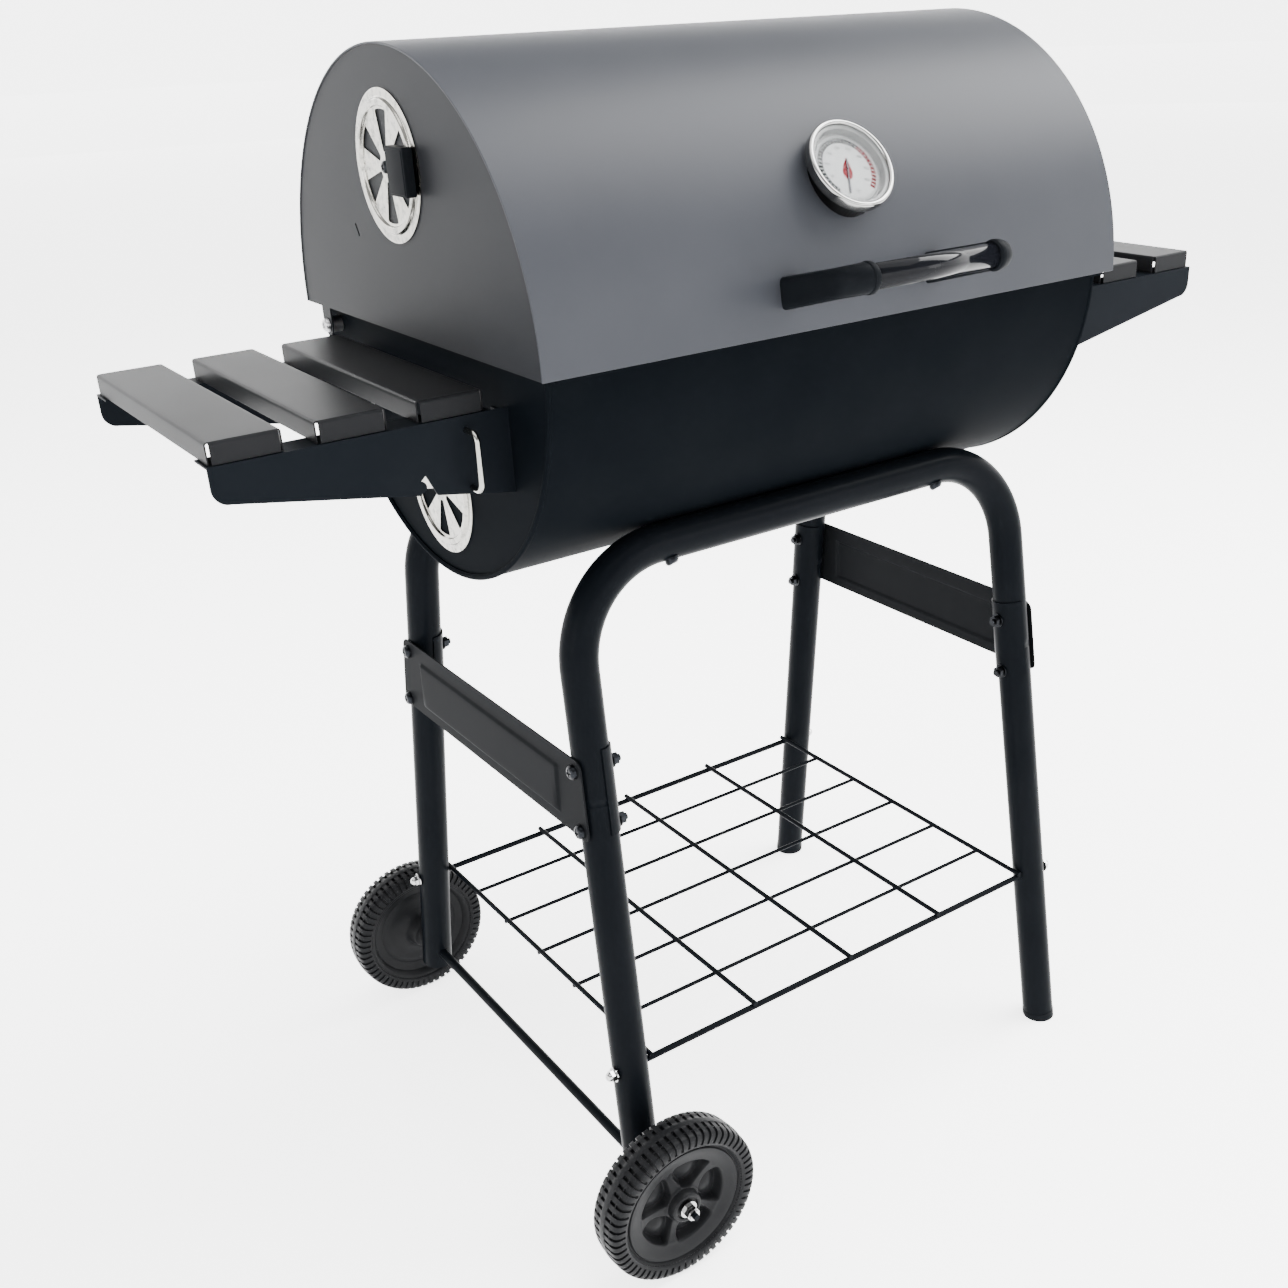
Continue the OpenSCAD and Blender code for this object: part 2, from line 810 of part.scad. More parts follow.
slat_t = 1.2;
slat_return = 24;     // width of the inward fold that rests on a bracket
slat_under = shelf_h - slat_lip;
flange_z = slat_under - gap - sheet;
shelf_screw_y = bracket_y - 14;

function slat_x(i) = shelf_reach - slat_w / 2 - i * slat_pitch;

// Folded sheet slat of the right shelf: top, four lips with open corners, two inward folds.
module slat(i) {
    color(charcoal) translate([slat_x(i), 0, 0]) difference() {
        translate([-slat_w / 2, -slat_len / 2, slat_under]) cube([slat_w, slat_len, slat_lip]);
        translate([slat_t - slat_w / 2, slat_t - slat_len / 2, slat_under + slat_t])
            cube([slat_w - 2 * slat_t, slat_len - 2 * slat_t, slat_lip - 2 * slat_t]);
        translate([slat_t - slat_w / 2, slat_return - slat_len / 2, slat_under - pad])
            cube([slat_w - 2 * slat_t, slat_len - 2 * slat_return, slat_t + 2 * pad]);
        for (sx = [-1, 1], sy = [-1, 1])
            translate([sx * (slat_w / 2 - slat_t), sy * (slat_len / 2 - slat_t / 2), slat_under])
                cube([0.8, slat_t + pad, 2 * (slat_lip - 3)], center = true);
        for (sy = [-1, 1]) translate([0, sy * shelf_screw_y, slat_under - pad]) cylinder(r = 2.7, h = 3);
    }
}

module slat_right_outer() {
    slat(0);
}

module slat_right_middle() {
    slat(1);
}

module slat_right_inner() {
    slat(2);
}

module slat_left_outer() {
    mirror([1, 0, 0]) slat(0);
}

module slat_left_middle() {
    mirror([1, 0, 0]) slat(1);
}

module slat_left_inner() {
    mirror([1, 0, 0]) slat(2);
}

bracket_out = shelf_reach + 2;
bracket_in = tub_half + gap;
bracket_depth_out = 28;             // depth of the web at its outer end
bracket_depth_in = 66;
corner_r = 12;

module web_outline() {
    top = flange_z + sheet;
    polygon([[bracket_in, top], [bracket_in, top - bracket_depth_in],
        [bracket_out - corner_r, top - bracket_depth_out],
        [bracket_out, top - bracket_depth_out + corner_r], [bracket_out, top]]);
    translate([bracket_out - corner_r, top - bracket_depth_out + corner_r]) circle(corner_r);
}

// Front bracket of the right shelf: web, top flange under the slats, flange on the end plate.
module bracket() {
    color(charcoal) difference() {
        union() {
            translate([0, -bracket_y - gap, 0]) rotate([90, 0, 0]) linear_extrude(sheet) difference() {
                web_outline();
                children();
            }
            translate([tub_half + 14, -bracket_y - sheet, flange_z])
                cube([bracket_out - tub_half - 14, flange_w, sheet]);
            translate([bracket_in, -bracket_y - sheet, axis_h - 94])
                cube([sheet, flange_w, 56]);
        }
        for (i = [0:2]) translate([slat_x(i), -shelf_screw_y, flange_z - pad]) cylinder(r = 2.7, h = 5);
        for (z = bracket_bolt_z) translate([0, -bracket_bolt_y, axis_h + z])
            rod_x(tub_half - 5, tub_half + 5, bore_r);
    }
}

module bracket_right_front() {
    bracket();
}

module bracket_right_rear() {
    mirror([0, 1, 0]) bracket();
}

module bracket_left_rear() {
    mirror([1, 0, 0]) mirror([0, 1, 0]) bracket();
}

loop_x = 318;
loop_r = 2.4;
loop_out = 16;        // how far the loop stands out of the bracket
loop_half = 22;
loop_bend = 7;
loop_h = 744;

// Opener notch in the lower edge, with a rounded tooth.
module opener_notch() {
    difference() {
        polygon([[345, 700], [345, 719], [354.5, 739], [359, 735], [360, 700]]);
        translate([359, 730.5]) circle(4.5);
    }
}

module bracket_left_front() {
    mirror([1, 0, 0]) bracket() {
        opener_notch();
        for (s = [-1, 1]) translate([loop_x, loop_h + s * loop_half]) circle(loop_r + gap);
    }
}

// Bright wire loop that stands in front of the left front bracket, its ends through the web.
module tool_loop() {
    start_y = bracket_y - 3;
    run = loop_out - loop_bend + 4.6;
    color(steel) translate([-loop_x, -start_y, loop_h]) {
        for (s = [-1, 1]) translate([0, 0, s * loop_half]) rotate([90, 0, 0]) cylinder(r = loop_r, h = run);
        for (s = [0, 1]) mirror([0, 0, s]) translate([0, -run, loop_half - loop_bend])
            rotate([0, -90, 0]) rotate_extrude(angle = 90, start = -90)
                translate([loop_bend, 0]) circle(loop_r);
        translate([0, -run - loop_bend, loop_bend - loop_half])
            cylinder(r = loop_r, h = 2 * (loop_half - loop_bend));
    }
}

// Screws up through the bracket flanges into the slats, with nuts inside the slats.
module slat_screws() {
    color(zinc) both_sides() front_and_back() for (i = [0:2])
        translate([slat_x(i), shelf_screw_y, flange_z]) {
            translate([0, 0, -3]) cylinder(r = 4.6, h = 2.8);
            translate([0, 0, -0.5]) cylinder(r = 2.5, h = 10);
            translate([0, 0, sheet + gap + slat_t + 0.2]) difference() {
                cylinder(r = 4.6, h = 4, $fn = 6);
                translate([0, 0, -pad]) cylinder(r = 2, h = 7);
            }
        }
}

// Bolts through bracket flange, end plate and grate support.
module bracket_bolts() {
    color(zinc) both_sides() front_and_back() for (z = bracket_bolt_z)
        translate([bracket_in + sheet, bracket_bolt_y, axis_h + z]) rotate([0, -90, 0]) {
            translate([0, 0, -3.5]) cylinder(r1 = 4.4, r2 = 6, h = 3.3);
            translate([0, 0, -0.5]) cylinder(r = bolt_r, h = 16);
            translate([0, 0, 3 * sheet + 4 * gap]) difference() {
                cylinder(r = 5.8, h = 5, $fn = 6);
                translate([0, 0, -pad]) cylinder(r = bolt_r - 0.5, h = 8);
            }
        }
}

// ---- grates ----

grate_z = axis_h - 20;
grate_rod_r = 3;
grate_bar_r = 2;
grate_half_y = 188;
support_top = grate_z - grate_rod_r - gap;

// Angle brackets inside the end plates that the cooking grates rest on.
module grate_supports() {
    color(zinc) both_sides() front_and_back() difference() {
        union() {
            translate([tub_half - 2 * sheet - gap, bracket_y - 26, axis_h - 94])
                cube([sheet, 26, support_top - axis_h + 94]);
            translate([tub_half - 2 * sheet - gap - 22, bracket_y - 26, support_top - sheet])
                cube([22 + sheet, 26, sheet]);
        }
        for (z = bracket_bolt_z) translate([0, bracket_bolt_y, axis_h + z])
            rod_x(tub_half - 10, tub_half + 10, bore_r);
    }
}

// A grate of bars across a rod frame, from x0 to x1. The two end rods are slightly finer.
module bar_grate(x0, x1, half_y, z, count) {
    step = (x1 - x0) / (count + 1);
    for (sy = [-1, 1]) translate([0, sy * half_y, z]) rod_x(x0 - 1, x1 + 1, grate_rod_r);
    for (x = [x0 + 2.6, x1 - 2.6]) translate([x, 0, z + 0.2]) rod_y(-half_y - 1, half_y + 1, grate_rod_r - 0.4);
    for (i = [1:count]) translate([x0 + i * step, 0, z + grate_rod_r - 0.4])
        rod_y(-half_y - 1, half_y + 1, grate_bar_r);
}

module cooking_grate_left() {
    color(zinc) bar_grate(8 - tub_half, -5, grate_half_y, grate_z, 16);
}

module cooking_grate_right() {
    color(zinc) bar_grate(5, tub_half - 8, grate_half_y, grate_z, 16);
}

coal_half_y = 137;
coal_z = axis_h - sqrt(pow(tub_in - grate_rod_r - 0.3, 2) - pow(coal_half_y, 2));

// Charcoal grate that rests on the curve of the lower barrel.
module charcoal_grate() {
    color(zinc) bar_grate(10 - tub_half, tub_half - 10, coal_half_y, coal_z, 24);
}

firebox_shell();
firebox_end_left();
firebox_end_right();
front_top_tube();
rear_top_tube();
leg_front_left();
leg_front_right();
leg_rear_left();
leg_rear_right();
end_panel_left();
end_panel_right();
leg_clamps();
frame_bolts();
frame_nuts();
barrel_bolts();
foot_caps();
wire_shelf();
shelf_cap_nuts();
axle();
axle_nuts();
slat_left_outer();
slat_left_middle();
slat_left_inner();
slat_right_outer();
slat_right_middle();
slat_right_inner();
bracket_left_front();
bracket_left_rear();
bracket_right_front();
bracket_right_rear();
slat_screws();
bracket_bolts();
tool_loop();
lower_vent_screw();
cooking_grate_left();
cooking_grate_right();
grate_supports();
charcoal_grate();
hinge_screws();
hinge_bushes();
lid_shell();
lid_end_left();
lid_end_right();
handle_tube();
handle_arm_left();
handle_arm_right();
handle_screws();
upper_vent_screw();
thermometer_case();
thermometer_bezel();
thermometer_dial();
thermometer_glass();
thermometer_nut();
thermometer_needle();
upper_vent_disc();
upper_vent_knob();
lower_vent_disc();
lower_vent_knob();
front_wheel();
rear_wheel();
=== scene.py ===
# Barrel charcoal grill on a wheeled tube cart: +X along the barrel, -Y the front, +Z up. Shapes are
# worked out in millimetres and piece() makes them metres.
import json
import math

import bmesh
import bpy
import numpy as np
from mathutils import Matrix, Vector


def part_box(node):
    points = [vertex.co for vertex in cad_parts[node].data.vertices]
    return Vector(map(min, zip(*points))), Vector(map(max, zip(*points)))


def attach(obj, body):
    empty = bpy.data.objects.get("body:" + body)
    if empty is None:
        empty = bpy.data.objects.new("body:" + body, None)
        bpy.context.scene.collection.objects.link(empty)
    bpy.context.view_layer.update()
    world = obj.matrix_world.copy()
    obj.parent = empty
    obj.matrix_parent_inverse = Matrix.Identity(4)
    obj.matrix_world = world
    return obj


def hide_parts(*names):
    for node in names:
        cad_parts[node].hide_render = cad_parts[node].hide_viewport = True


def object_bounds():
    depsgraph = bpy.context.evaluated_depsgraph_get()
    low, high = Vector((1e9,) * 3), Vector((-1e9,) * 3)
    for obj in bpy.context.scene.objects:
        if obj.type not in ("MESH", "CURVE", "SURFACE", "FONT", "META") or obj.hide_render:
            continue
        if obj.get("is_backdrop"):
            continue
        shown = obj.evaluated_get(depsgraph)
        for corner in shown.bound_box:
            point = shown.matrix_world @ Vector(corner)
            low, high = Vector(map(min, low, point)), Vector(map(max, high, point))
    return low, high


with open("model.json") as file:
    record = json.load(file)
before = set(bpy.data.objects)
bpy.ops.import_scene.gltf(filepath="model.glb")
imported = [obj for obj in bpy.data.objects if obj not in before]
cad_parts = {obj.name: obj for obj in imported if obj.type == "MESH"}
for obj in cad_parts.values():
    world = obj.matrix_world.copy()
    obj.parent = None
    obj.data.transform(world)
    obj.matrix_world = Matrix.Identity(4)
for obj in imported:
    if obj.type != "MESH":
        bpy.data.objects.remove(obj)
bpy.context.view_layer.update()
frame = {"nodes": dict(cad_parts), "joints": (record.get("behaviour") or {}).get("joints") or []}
nodes = frame["nodes"]


# ---- studio ----
# A pale, faintly glowing floor that runs up into a round wall. The key light hangs at the right, with a
# soft light overhead, a weak fill in front, a strip at the left and a rim light behind. The camera is a
# little above the lid, in front of the left end.

def look_from(eye, yaw, pitch, roll):
    """Camera matrix: forward from yaw (0 along +Y, positive to +X) and pitch, then rolled."""
    yaw, pitch, roll = map(math.radians, (yaw, pitch, roll))
    level = math.cos(pitch)
    ahead = Vector((math.sin(yaw) * level, math.cos(yaw) * level, math.sin(pitch)))
    right = Vector((math.cos(yaw), -math.sin(yaw), 0))
    up = right.cross(ahead)
    across = right * math.cos(roll) + up * math.sin(roll)
    upward = up * math.cos(roll) - right * math.sin(roll)
    turn = Matrix((across, upward, -ahead)).transposed()
    return Matrix.Translation(eye) @ turn.to_4x4()


lens = bpy.data.cameras.new("camera")
camera = bpy.data.objects.new("camera", lens)
bpy.context.collection.objects.link(camera)
lens.sensor_width = 36
lens.lens = 40.3
lens.shift_x = -0.044
lens.shift_y = 0.052
lens.clip_end = 50
camera.matrix_world = look_from((-0.7734, -1.0922, 1.0496), 34.35, -26.56, -2.46)
bpy.context.scene.camera = camera


def soft_light(name, place, aim, width, height, watts):
    """A rectangular area light at place, turned to face aim."""
    lamp = bpy.data.lights.new(name, "AREA")
    lamp.shape = "RECTANGLE"
    lamp.size, lamp.size_y = width, height
    lamp.energy = watts
    light = bpy.data.objects.new(name, lamp)
    bpy.context.collection.objects.link(light)
    light.location = place
    light.rotation_euler = (Vector(aim) - Vector(place)).to_track_quat("-Z", "Y").to_euler()


soft_light("key", (1.9, -0.5, 3.0), (0, 0, 0.7), 2.0, 2.4, 300)
soft_light("overhead", (-0.2, -0.2, 3.4), (0, 0, 0), 3.0, 3.0, 110)
soft_light("front_fill", (1.9, -3.2, 1.5), (0.2, 0, 0.8), 1.2, 1.2, 24)
soft_light("left_strip", (-3.0, -1.0, 1.5), (0, 0, 0.8), 0.4, 1.8, 26)
soft_light("back_rim", (-1.2, 2.6, 2.2), (0, 0, 0.7), 2.4, 1.0, 40)

world = bpy.data.worlds.new("studio")
bpy.context.scene.world = world
world.use_nodes = True
backdrop = world.node_tree.nodes["Background"]
backdrop.inputs["Color"].default_value = (1, 1, 1, 1)
backdrop.inputs["Strength"].default_value = 0.8

floor_mat = bpy.data.materials.new("studio_floor")
floor_mat.use_nodes = True
floor_shader = floor_mat.node_tree.nodes["Principled BSDF"]
for socket, value in (("Base Color", (0.9, 0.9, 0.9, 1)), ("Roughness", 0.8),
                      ("Emission Color", (1, 1, 1, 1)), ("Emission Strength", 2.9)):
    floor_shader.inputs[socket].default_value = value
floor_mesh = bpy.data.meshes.new("floor")
turn = np.radians(np.arange(0, 360, 5))[None, :]
cove = np.array([(0, 0), (3, 0), (8, 0), (13, 0), (15, 0.4), (16.2, 1.4), (16.6, 2.8), (16.8, 7)])
far, high = cove[:, :1], cove[:, 1:]
points = np.stack(np.broadcast_arrays(far * np.cos(turn), far * np.sin(turn), high), axis=-1)
number = np.arange(points[..., 0].size).reshape(points.shape[:2])
number = np.concatenate([number, number[:, :1]], axis=1)
corners = [number[:-1, :-1], number[:-1, 1:], number[1:, 1:], number[1:, :-1]]
quads = np.stack(corners, axis=-1).reshape(-1, 4)
floor_mesh.from_pydata(points.reshape(-1, 3).tolist(), [], quads[:, ::-1].tolist())
floor = bpy.data.objects.new("floor", floor_mesh)
floor.data.materials.append(floor_mat)
bpy.context.collection.objects.link(floor)
floor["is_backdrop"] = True


# ---- lid ----
# Rolled sheet with two flat end plates, powder coated in satin charcoal with a fine grain. The end plates'
# coat is a darker copy of the sheet's, painted shade.

class Wire:
    """One output socket in a material's node tree. Arithmetic on it adds Math nodes."""

    def __init__(self, tree, socket):
        self.tree, self.socket = tree, socket

    def node(self, kind, settings, inputs, out=0):
        """Adds a node of this kind, applies its settings, then gives its sockets values or links."""
        made = self.tree.nodes.new(kind)
        for name, value in settings.items():
            setattr(made, name, value)
        for name, value in inputs.items():
            if isinstance(value, Wire):
                self.tree.links.new(value.socket, made.inputs[name])
            else:
                made.inputs[name].default_value = value
        return Wire(self.tree, made.outputs[out])

    def math(self, operation, first, second=0.0):
        """One Math node of this operation on two values or sockets."""
        return self.node("ShaderNodeMath", {"operation": operation}, {0: first, 1: second})

    def __add__(self, other):
        return self.math("ADD", self, other)

    def __sub__(self, other):
        return self.math("SUBTRACT", self, other)

    def __rsub__(self, other):
        return self.math("SUBTRACT", other, self)

    def __mul__(self, other):
        return self.math("MULTIPLY", self, other)

    def __truediv__(self, other):
        return self.math("DIVIDE", self, other)

    def __rtruediv__(self, other):
        return self.math("DIVIDE", other, self)

    def __gt__(self, other):
        return self.math("GREATER_THAN", self, other)

    def __lt__(self, other):
        return self.math("LESS_THAN", self, other)

    __radd__ = __add__
    __rmul__ = __mul__

    def step(self, low, high):
        """0 below low, 1 above high and smooth between."""
        return self.node("ShaderNodeMapRange", {"interpolation_type": "SMOOTHSTEP"},
                         {"Value": self, "From Min": low, "From Max": high})

    def noise(self, size, detail=2.0, rough=0.5):
        """Noise from 0 to 1 on this vector, with lumps about size metres across."""
        return self.node("ShaderNodeTexNoise", {},
                         {"Vector": self, "Scale": 1 / size, "Detail": detail, "Roughness": rough})

    def mix(self, low, high):
        """Blends two colours, with this value as the factor."""
        return self.node("ShaderNodeMix", {"data_type": "RGBA"}, {0: self, 6: low, 7: high}, out=2)

    def bump(self, height):
        """Normal from this value times height metres."""
        return self.node("ShaderNodeBump", {}, {"Height": self, "Distance": height, "Strength": 1.0})


def new_finish(name, **fixed):
    """A principled material with fixed socket values, with its shader and the object's coordinates."""
    mat = bpy.data.materials.new(name)
    mat.use_nodes = True
    tree = mat.node_tree
    shader = tree.nodes["Principled BSDF"]
    for socket, value in fixed.items():
        shader.inputs[socket.replace("_", " ")].default_value = value
    place = tree.nodes.new("ShaderNodeTexCoord")
    return mat, shader, Wire(tree, place.outputs["Object"])


def feed(shader, **wires):
    """Links each wire to the shader's socket of that name."""
    for socket, wire in wires.items():
        wire.tree.links.new(wire.socket, shader.inputs[socket.replace("_", " ")])


def powder_coat(name, shade, rough, sheen=0.5, grain=0.00003, lump=0.0011):
    """Baked powder. Colour goes from the shade to a paler one with half a slow drift and a quarter of
    the dust, gloss follows the drift and the pebble grain, and the grain gives the bump."""
    mat, shader, at = new_finish(name, Specular_IOR_Level=sheen)
    drift = at.noise(0.09, 3.0)
    dust = at.noise(0.004, 4.0, 0.7).step(0.62, 0.8)
    pale = tuple(min(1, c * 1.35 + 0.004) for c in shade)
    colour = (drift * 0.5 + dust * 0.25).mix((*shade, 1), (*pale, 1))
    pebble = at.noise(lump, 3.0, 0.6)
    gloss = drift * 0.06 + pebble * 0.05 + (rough - 0.05)
    feed(shader, Base_Color=colour, Roughness=gloss, Normal=pebble.bump(grain))
    return mat


def coat(material, *names):
    """Puts a material on CAD nodes."""
    for name in names:
        for place in nodes[name].material_slots:
            place.material = material


def box_mm(node):
    """Lowest and highest corner of a CAD node, in millimetres."""
    low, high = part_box(node)
    return np.array(low) * 1000, np.array(high) * 1000


def grid(points, wrap_rows=False, wrap_columns=False):
    """Vertices and quads of a grid of points (rows, columns, 3). A wrapped side meets its own start."""
    rows, columns = points.shape[:2]
    number = np.arange(rows * columns).reshape(rows, columns)
    if wrap_rows:
        number = np.concatenate([number, number[:1]])
    if wrap_columns:
        number = np.concatenate([number, number[:, :1]], axis=1)
    quads = np.stack([number[:-1, :-1], number[1:, :-1], number[1:, 1:], number[:-1, 1:]], axis=-1)
    return points.reshape(-1, 3), quads.reshape(-1, 4)


def piece(name, parts, material, body, replaced=(), crease=35, wall=0.0, edge=0.0):
    """Makes one object of several grids in millimetres: doubles merged, faces outward, edges sharper
    than crease degrees kept crisp. wall gives a sheet its thickness inward, edge rounds its borders."""
    count = np.cumsum([0] + [len(points) for points, _ in parts])
    points = np.concatenate([points for points, _ in parts]) * 0.001
    quads = np.concatenate([quads + start for (_, quads), start in zip(parts, count)])
    mesh = bpy.data.meshes.new(name)
    mesh.from_pydata(points.tolist(), [], quads.tolist())
    work = bmesh.new()
    work.from_mesh(mesh)
    bmesh.ops.remove_doubles(work, verts=work.verts, dist=0.000002)
    bmesh.ops.dissolve_degenerate(work, edges=work.edges, dist=0.000001)
    bmesh.ops.recalc_face_normals(work, faces=work.faces)
    work.to_mesh(mesh)
    work.free()
    mesh.polygons.foreach_set("use_smooth", np.ones(len(mesh.polygons), bool))
    mesh.set_sharp_from_angle(angle=math.radians(crease))
    made = bpy.data.objects.new(name, mesh)
    bpy.context.collection.objects.link(made)
    mesh.materials.append(material)
    if wall:
        solid = made.modifiers.new("wall", "SOLIDIFY")
        solid.thickness, solid.offset = wall * 0.001, -1
        solid.use_even_offset = True
    if edge:
        bevel = made.modifiers.new("edge", "BEVEL")
        bevel.width, bevel.segments, bevel.limit_method = edge * 0.001, 2, "ANGLE"
        bevel.angle_limit = math.radians(50)
        bevel.harden_normals = True
    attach(made, body)
    if replaced:
        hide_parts(*replaced)
    return made


def unit(vector):
    """The vector divided by its length."""
    vector = np.asarray(vector, float)
    return vector / np.linalg.norm(vector)


def turned(profile, centre, axis, side, count=96, arc=(0, 360)):
    """A profile of (radius, height along the axis) turned about the axis, from the side direction."""
    profile = np.asarray(profile, float)
    axis, side = unit(axis), unit(side)
    across = np.cross(axis, side)
    closed = arc[1] - arc[0] == 360
    angle = np.radians(np.linspace(*arc, count, endpoint=not closed))[None, :, None]
    spoke = side * np.cos(angle) + across * np.sin(angle)
    points = np.asarray(centre, float) + profile[:, None, :1] * spoke + profile[:, None, 1:] * axis
    return grid(points, wrap_columns=closed)


def arc_points(centre, radius, start, end, count=7):
    """Points of a flat arc, in degrees."""
    angle = np.radians(np.linspace(start, end, count))
    return np.stack([centre[0] + radius * np.cos(angle), centre[1] + radius * np.sin(angle)], axis=-1)


lid_coat = powder_coat("lid_powder_coat", (0.0215, 0.023, 0.0272), 0.42, 0.09)
# The end plates take a darker copy of the lid's coat: painted shade for the weaker light that falls on the
# ends.
end_painted_shade_coat = powder_coat("lid_end_painted_shade_powder_coat", (0.0074, 0.0079, 0.0092), 0.45, 0.045)
coat(end_painted_shade_coat, "lid_end_left", "lid_end_right")
lid_low, lid_high = box_mm("lid_shell")
seam_z = lid_low[2]
lid_half, lid_r = lid_high[0], lid_high[1]
past_end = 0.9
sheet_wall = 1.5
turn = np.radians(np.linspace(0, 180, 145))[:, None]
reach = np.linspace(-lid_half - past_end, lid_half + past_end, 17)[None, :]
sheet = np.stack(np.broadcast_arrays(
    reach, -lid_r * np.cos(turn), seam_z + lid_r * np.sin(turn)), axis=-1)
piece("lid_sheet", [grid(sheet)], lid_coat, "lid", ["lid_shell"], wall=sheet_wall, edge=0.5)


# ---- lower barrel ----
# Rolled sheet in heat-proof black, with end plates whose round edges are rolled over into a bead.

tub_coat = powder_coat("barrel_powder_coat", (0.0009, 0.0015, 0.0023), 0.55, 0.004)
coat(tub_coat, "firebox_shell", "firebox_end_left", "firebox_end_right")
tub_low, tub_high = box_mm("firebox_shell")
tub_half = tub_high[0]
tub_r = seam_z - tub_low[2]
bead_r = 2.3
bead = arc_points((tub_r - 1.2, 0.6), bead_r, -60, 240, 17)
bead = np.concatenate([bead, bead[:1]])
for side, name in ((-1, "left"), (1, "right")):
    end = (side * tub_half, 0, seam_z)
    ring = turned(bead, end, (side, 0, 0), (0, -side, 0), 121, (0, 180))
    piece("barrel_bead_" + name, [ring], tub_coat, "cart")


# ---- grates and other parts inside the barrel ----
# Cooking and charcoal grates of welded wire, nickel plated and dulled by heat, on pressed supports.
# The small screws and nuts are zinc plated, and the domed nuts on the cart are bright chrome.

def metal(name, shade, rough, speck=0.0, drift_size=0.03):
    """Bare or plated metal. Colour goes from the shade to one duller by speck with the stains and a
    slow drift, gloss follows drift, stains and fine marks, and the marks give the bump."""
    mat, shader, at = new_finish(name, Metallic=1.0)
    drift = at.noise(drift_size, 3.0)
    marks = at.noise(0.0009, 2.0, 0.7)
    stain = at.noise(0.006, 4.0, 0.65).step(0.55, 0.8)
    dull = tuple(c * (1 - speck) for c in shade)
    colour = (stain * 0.8 + drift * 0.2).mix((*shade, 1), (*dull, 1))
    gloss = drift * 0.1 + stain * 0.08 + marks * 0.05 + (rough - 0.06)
    feed(shader, Base_Color=colour, Roughness=gloss, Normal=marks.bump(0.000012))
    return mat


grate_steel = metal("grate_wire", (0.42, 0.4, 0.38), 0.38, 0.4)
coat(grate_steel, "cooking_grate_left", "cooking_grate_right", "charcoal_grate")
zinc = metal("zinc_plate", (0.4, 0.4, 0.41), 0.3, 0.2)
coat(zinc, "grate_supports", "slat_screws", "bracket_bolts", "handle_screws", "hinge_screws", "hinge_bushes",
     "thermometer_nut")
chrome = metal("bright_chrome", (0.4, 0.4, 0.4), 0.1, 0.08)
coat(chrome, "shelf_cap_nuts", "axle_nuts")


# ---- cart frame ----
# Bent steel tube with a plain joint in each leg, powder coated in satin black.

def carried(path, normal, section, closed_section=True):
    """A flat section (points of (across, along the normal)) carried along a path in one plane. The
    section may be one outline or one for each point of the path."""
    path = np.asarray(path, float)
    ahead = np.gradient(path, axis=0)
    ahead /= np.linalg.norm(ahead, axis=1, keepdims=True)
    normal = unit(normal)
    across = np.cross(ahead, normal)
    section = np.broadcast_to(section, (len(path), *np.shape(section)[-2:]))
    points = path[:, None] + section[..., :1] * across[:, None] + section[..., 1:] * normal
    return grid(points, wrap_columns=closed_section)


frame_coat = powder_coat("frame_powder_coat", (0.0012, 0.0018, 0.0027), 0.3, 0.016)
coat(frame_coat, "leg_front_left", "leg_front_right", "leg_rear_left", "leg_rear_right", "leg_clamps",
     "wire_shelf", "axle")
tube_r = 16.5
lean, flare = math.radians(7.9), math.radians(1.7)
bar_y = 136.6
bar_z = box_mm("front_top_tube")[1][2] - tube_r
bend_x, bend_r = 157, 90
joint_z = 438
angle = np.linspace(math.radians(90), flare, 33)
bend = np.stack([bend_x + bend_r * np.cos(angle), bend_r * np.sin(angle) - bend_r], axis=-1)
run = (bar_z - joint_z) / math.cos(lean) + bend[-1, 1]
down = np.array([math.sin(flare), -math.cos(flare)])
leg = bend[-1] + np.linspace(0, 1, 14)[1:, None] * down * run / math.cos(flare)
half = np.concatenate([np.stack([np.linspace(8, bend_x, 14), np.zeros(14)], axis=-1), bend[1:], leg])
whole = np.concatenate([half[::-1] * (-1, 1), half])
ring = arc_points((0, 0), 1, 0, 360, 49)[:-1] * tube_r
for side, name in ((-1, "front"), (1, "rear")):
    upright = np.array([0, -side * math.sin(lean), math.cos(lean)])
    path = np.array([0, side * bar_y, bar_z]) + whole[:, :1] * (1, 0, 0) + whole[:, 1:] * upright
    tube = carried(path, np.cross((1, 0, 0), upright), ring)
    piece(name + "_bent_tube", [tube], frame_coat, "cart", [name + "_top_tube"],
          wall=sheet_wall)


# ---- end panels ----
# Pressed sheet across the outer sides of two legs: rounded corners and one long raised rectangle.

def smooth(value, low, high):
    """0 below low, 1 above high, and smooth between."""
    part = np.clip((value - low) / (high - low), 0, 1)
    return part * part * (3 - 2 * part)


def lines(*stops):
    """Grid lines through stops given as (place, number of steps to the next)."""
    runs = [np.linspace(a[0], b[0], a[1], endpoint=False) for a, b in zip(stops[:-1], stops[1:])]
    return np.concatenate([*runs, [stops[-1][0]]])


panel_coat = powder_coat("panel_powder_coat", (0.0036, 0.004, 0.0046), 0.5, 0.01)
tilt = math.atan(math.tan(flare) / math.cos(lean))
# Half the distance between an end's two legs at the joint's height: the bend, then the leg's flare.
leg_x = bend_x + bend_r * math.cos(flare) + (
    -bend_r + bend_r * math.sin(flare) + (bar_z - joint_z) / math.cos(lean)) * math.tan(flare)
panel_low_z, panel_high_z = 409, 482
tall_low = (panel_low_z - joint_z) / math.cos(tilt)
tall_high = (panel_high_z - joint_z) / math.cos(tilt)
corner_r = 8
past_leg = 12
raised_by, raised_y, raised_foot, raised_head = 2.0, (130.5, 134.5), (-19.5, -15.5), (25.5, 29.5)
u = lines((-1, 5), (-0.93, 6), (-0.78, 6), (-0.74, 40), (0.74, 6), (0.78, 6), (0.93, 5), (1, 1))[:, None]
v = lines((tall_low, 6), (tall_low + corner_r, 3), (raised_foot[0], 6), (raised_foot[1], 16),
          (raised_head[0], 6), (raised_head[1], 6), (tall_high - corner_r, 6), (tall_high, 1))[None, :]
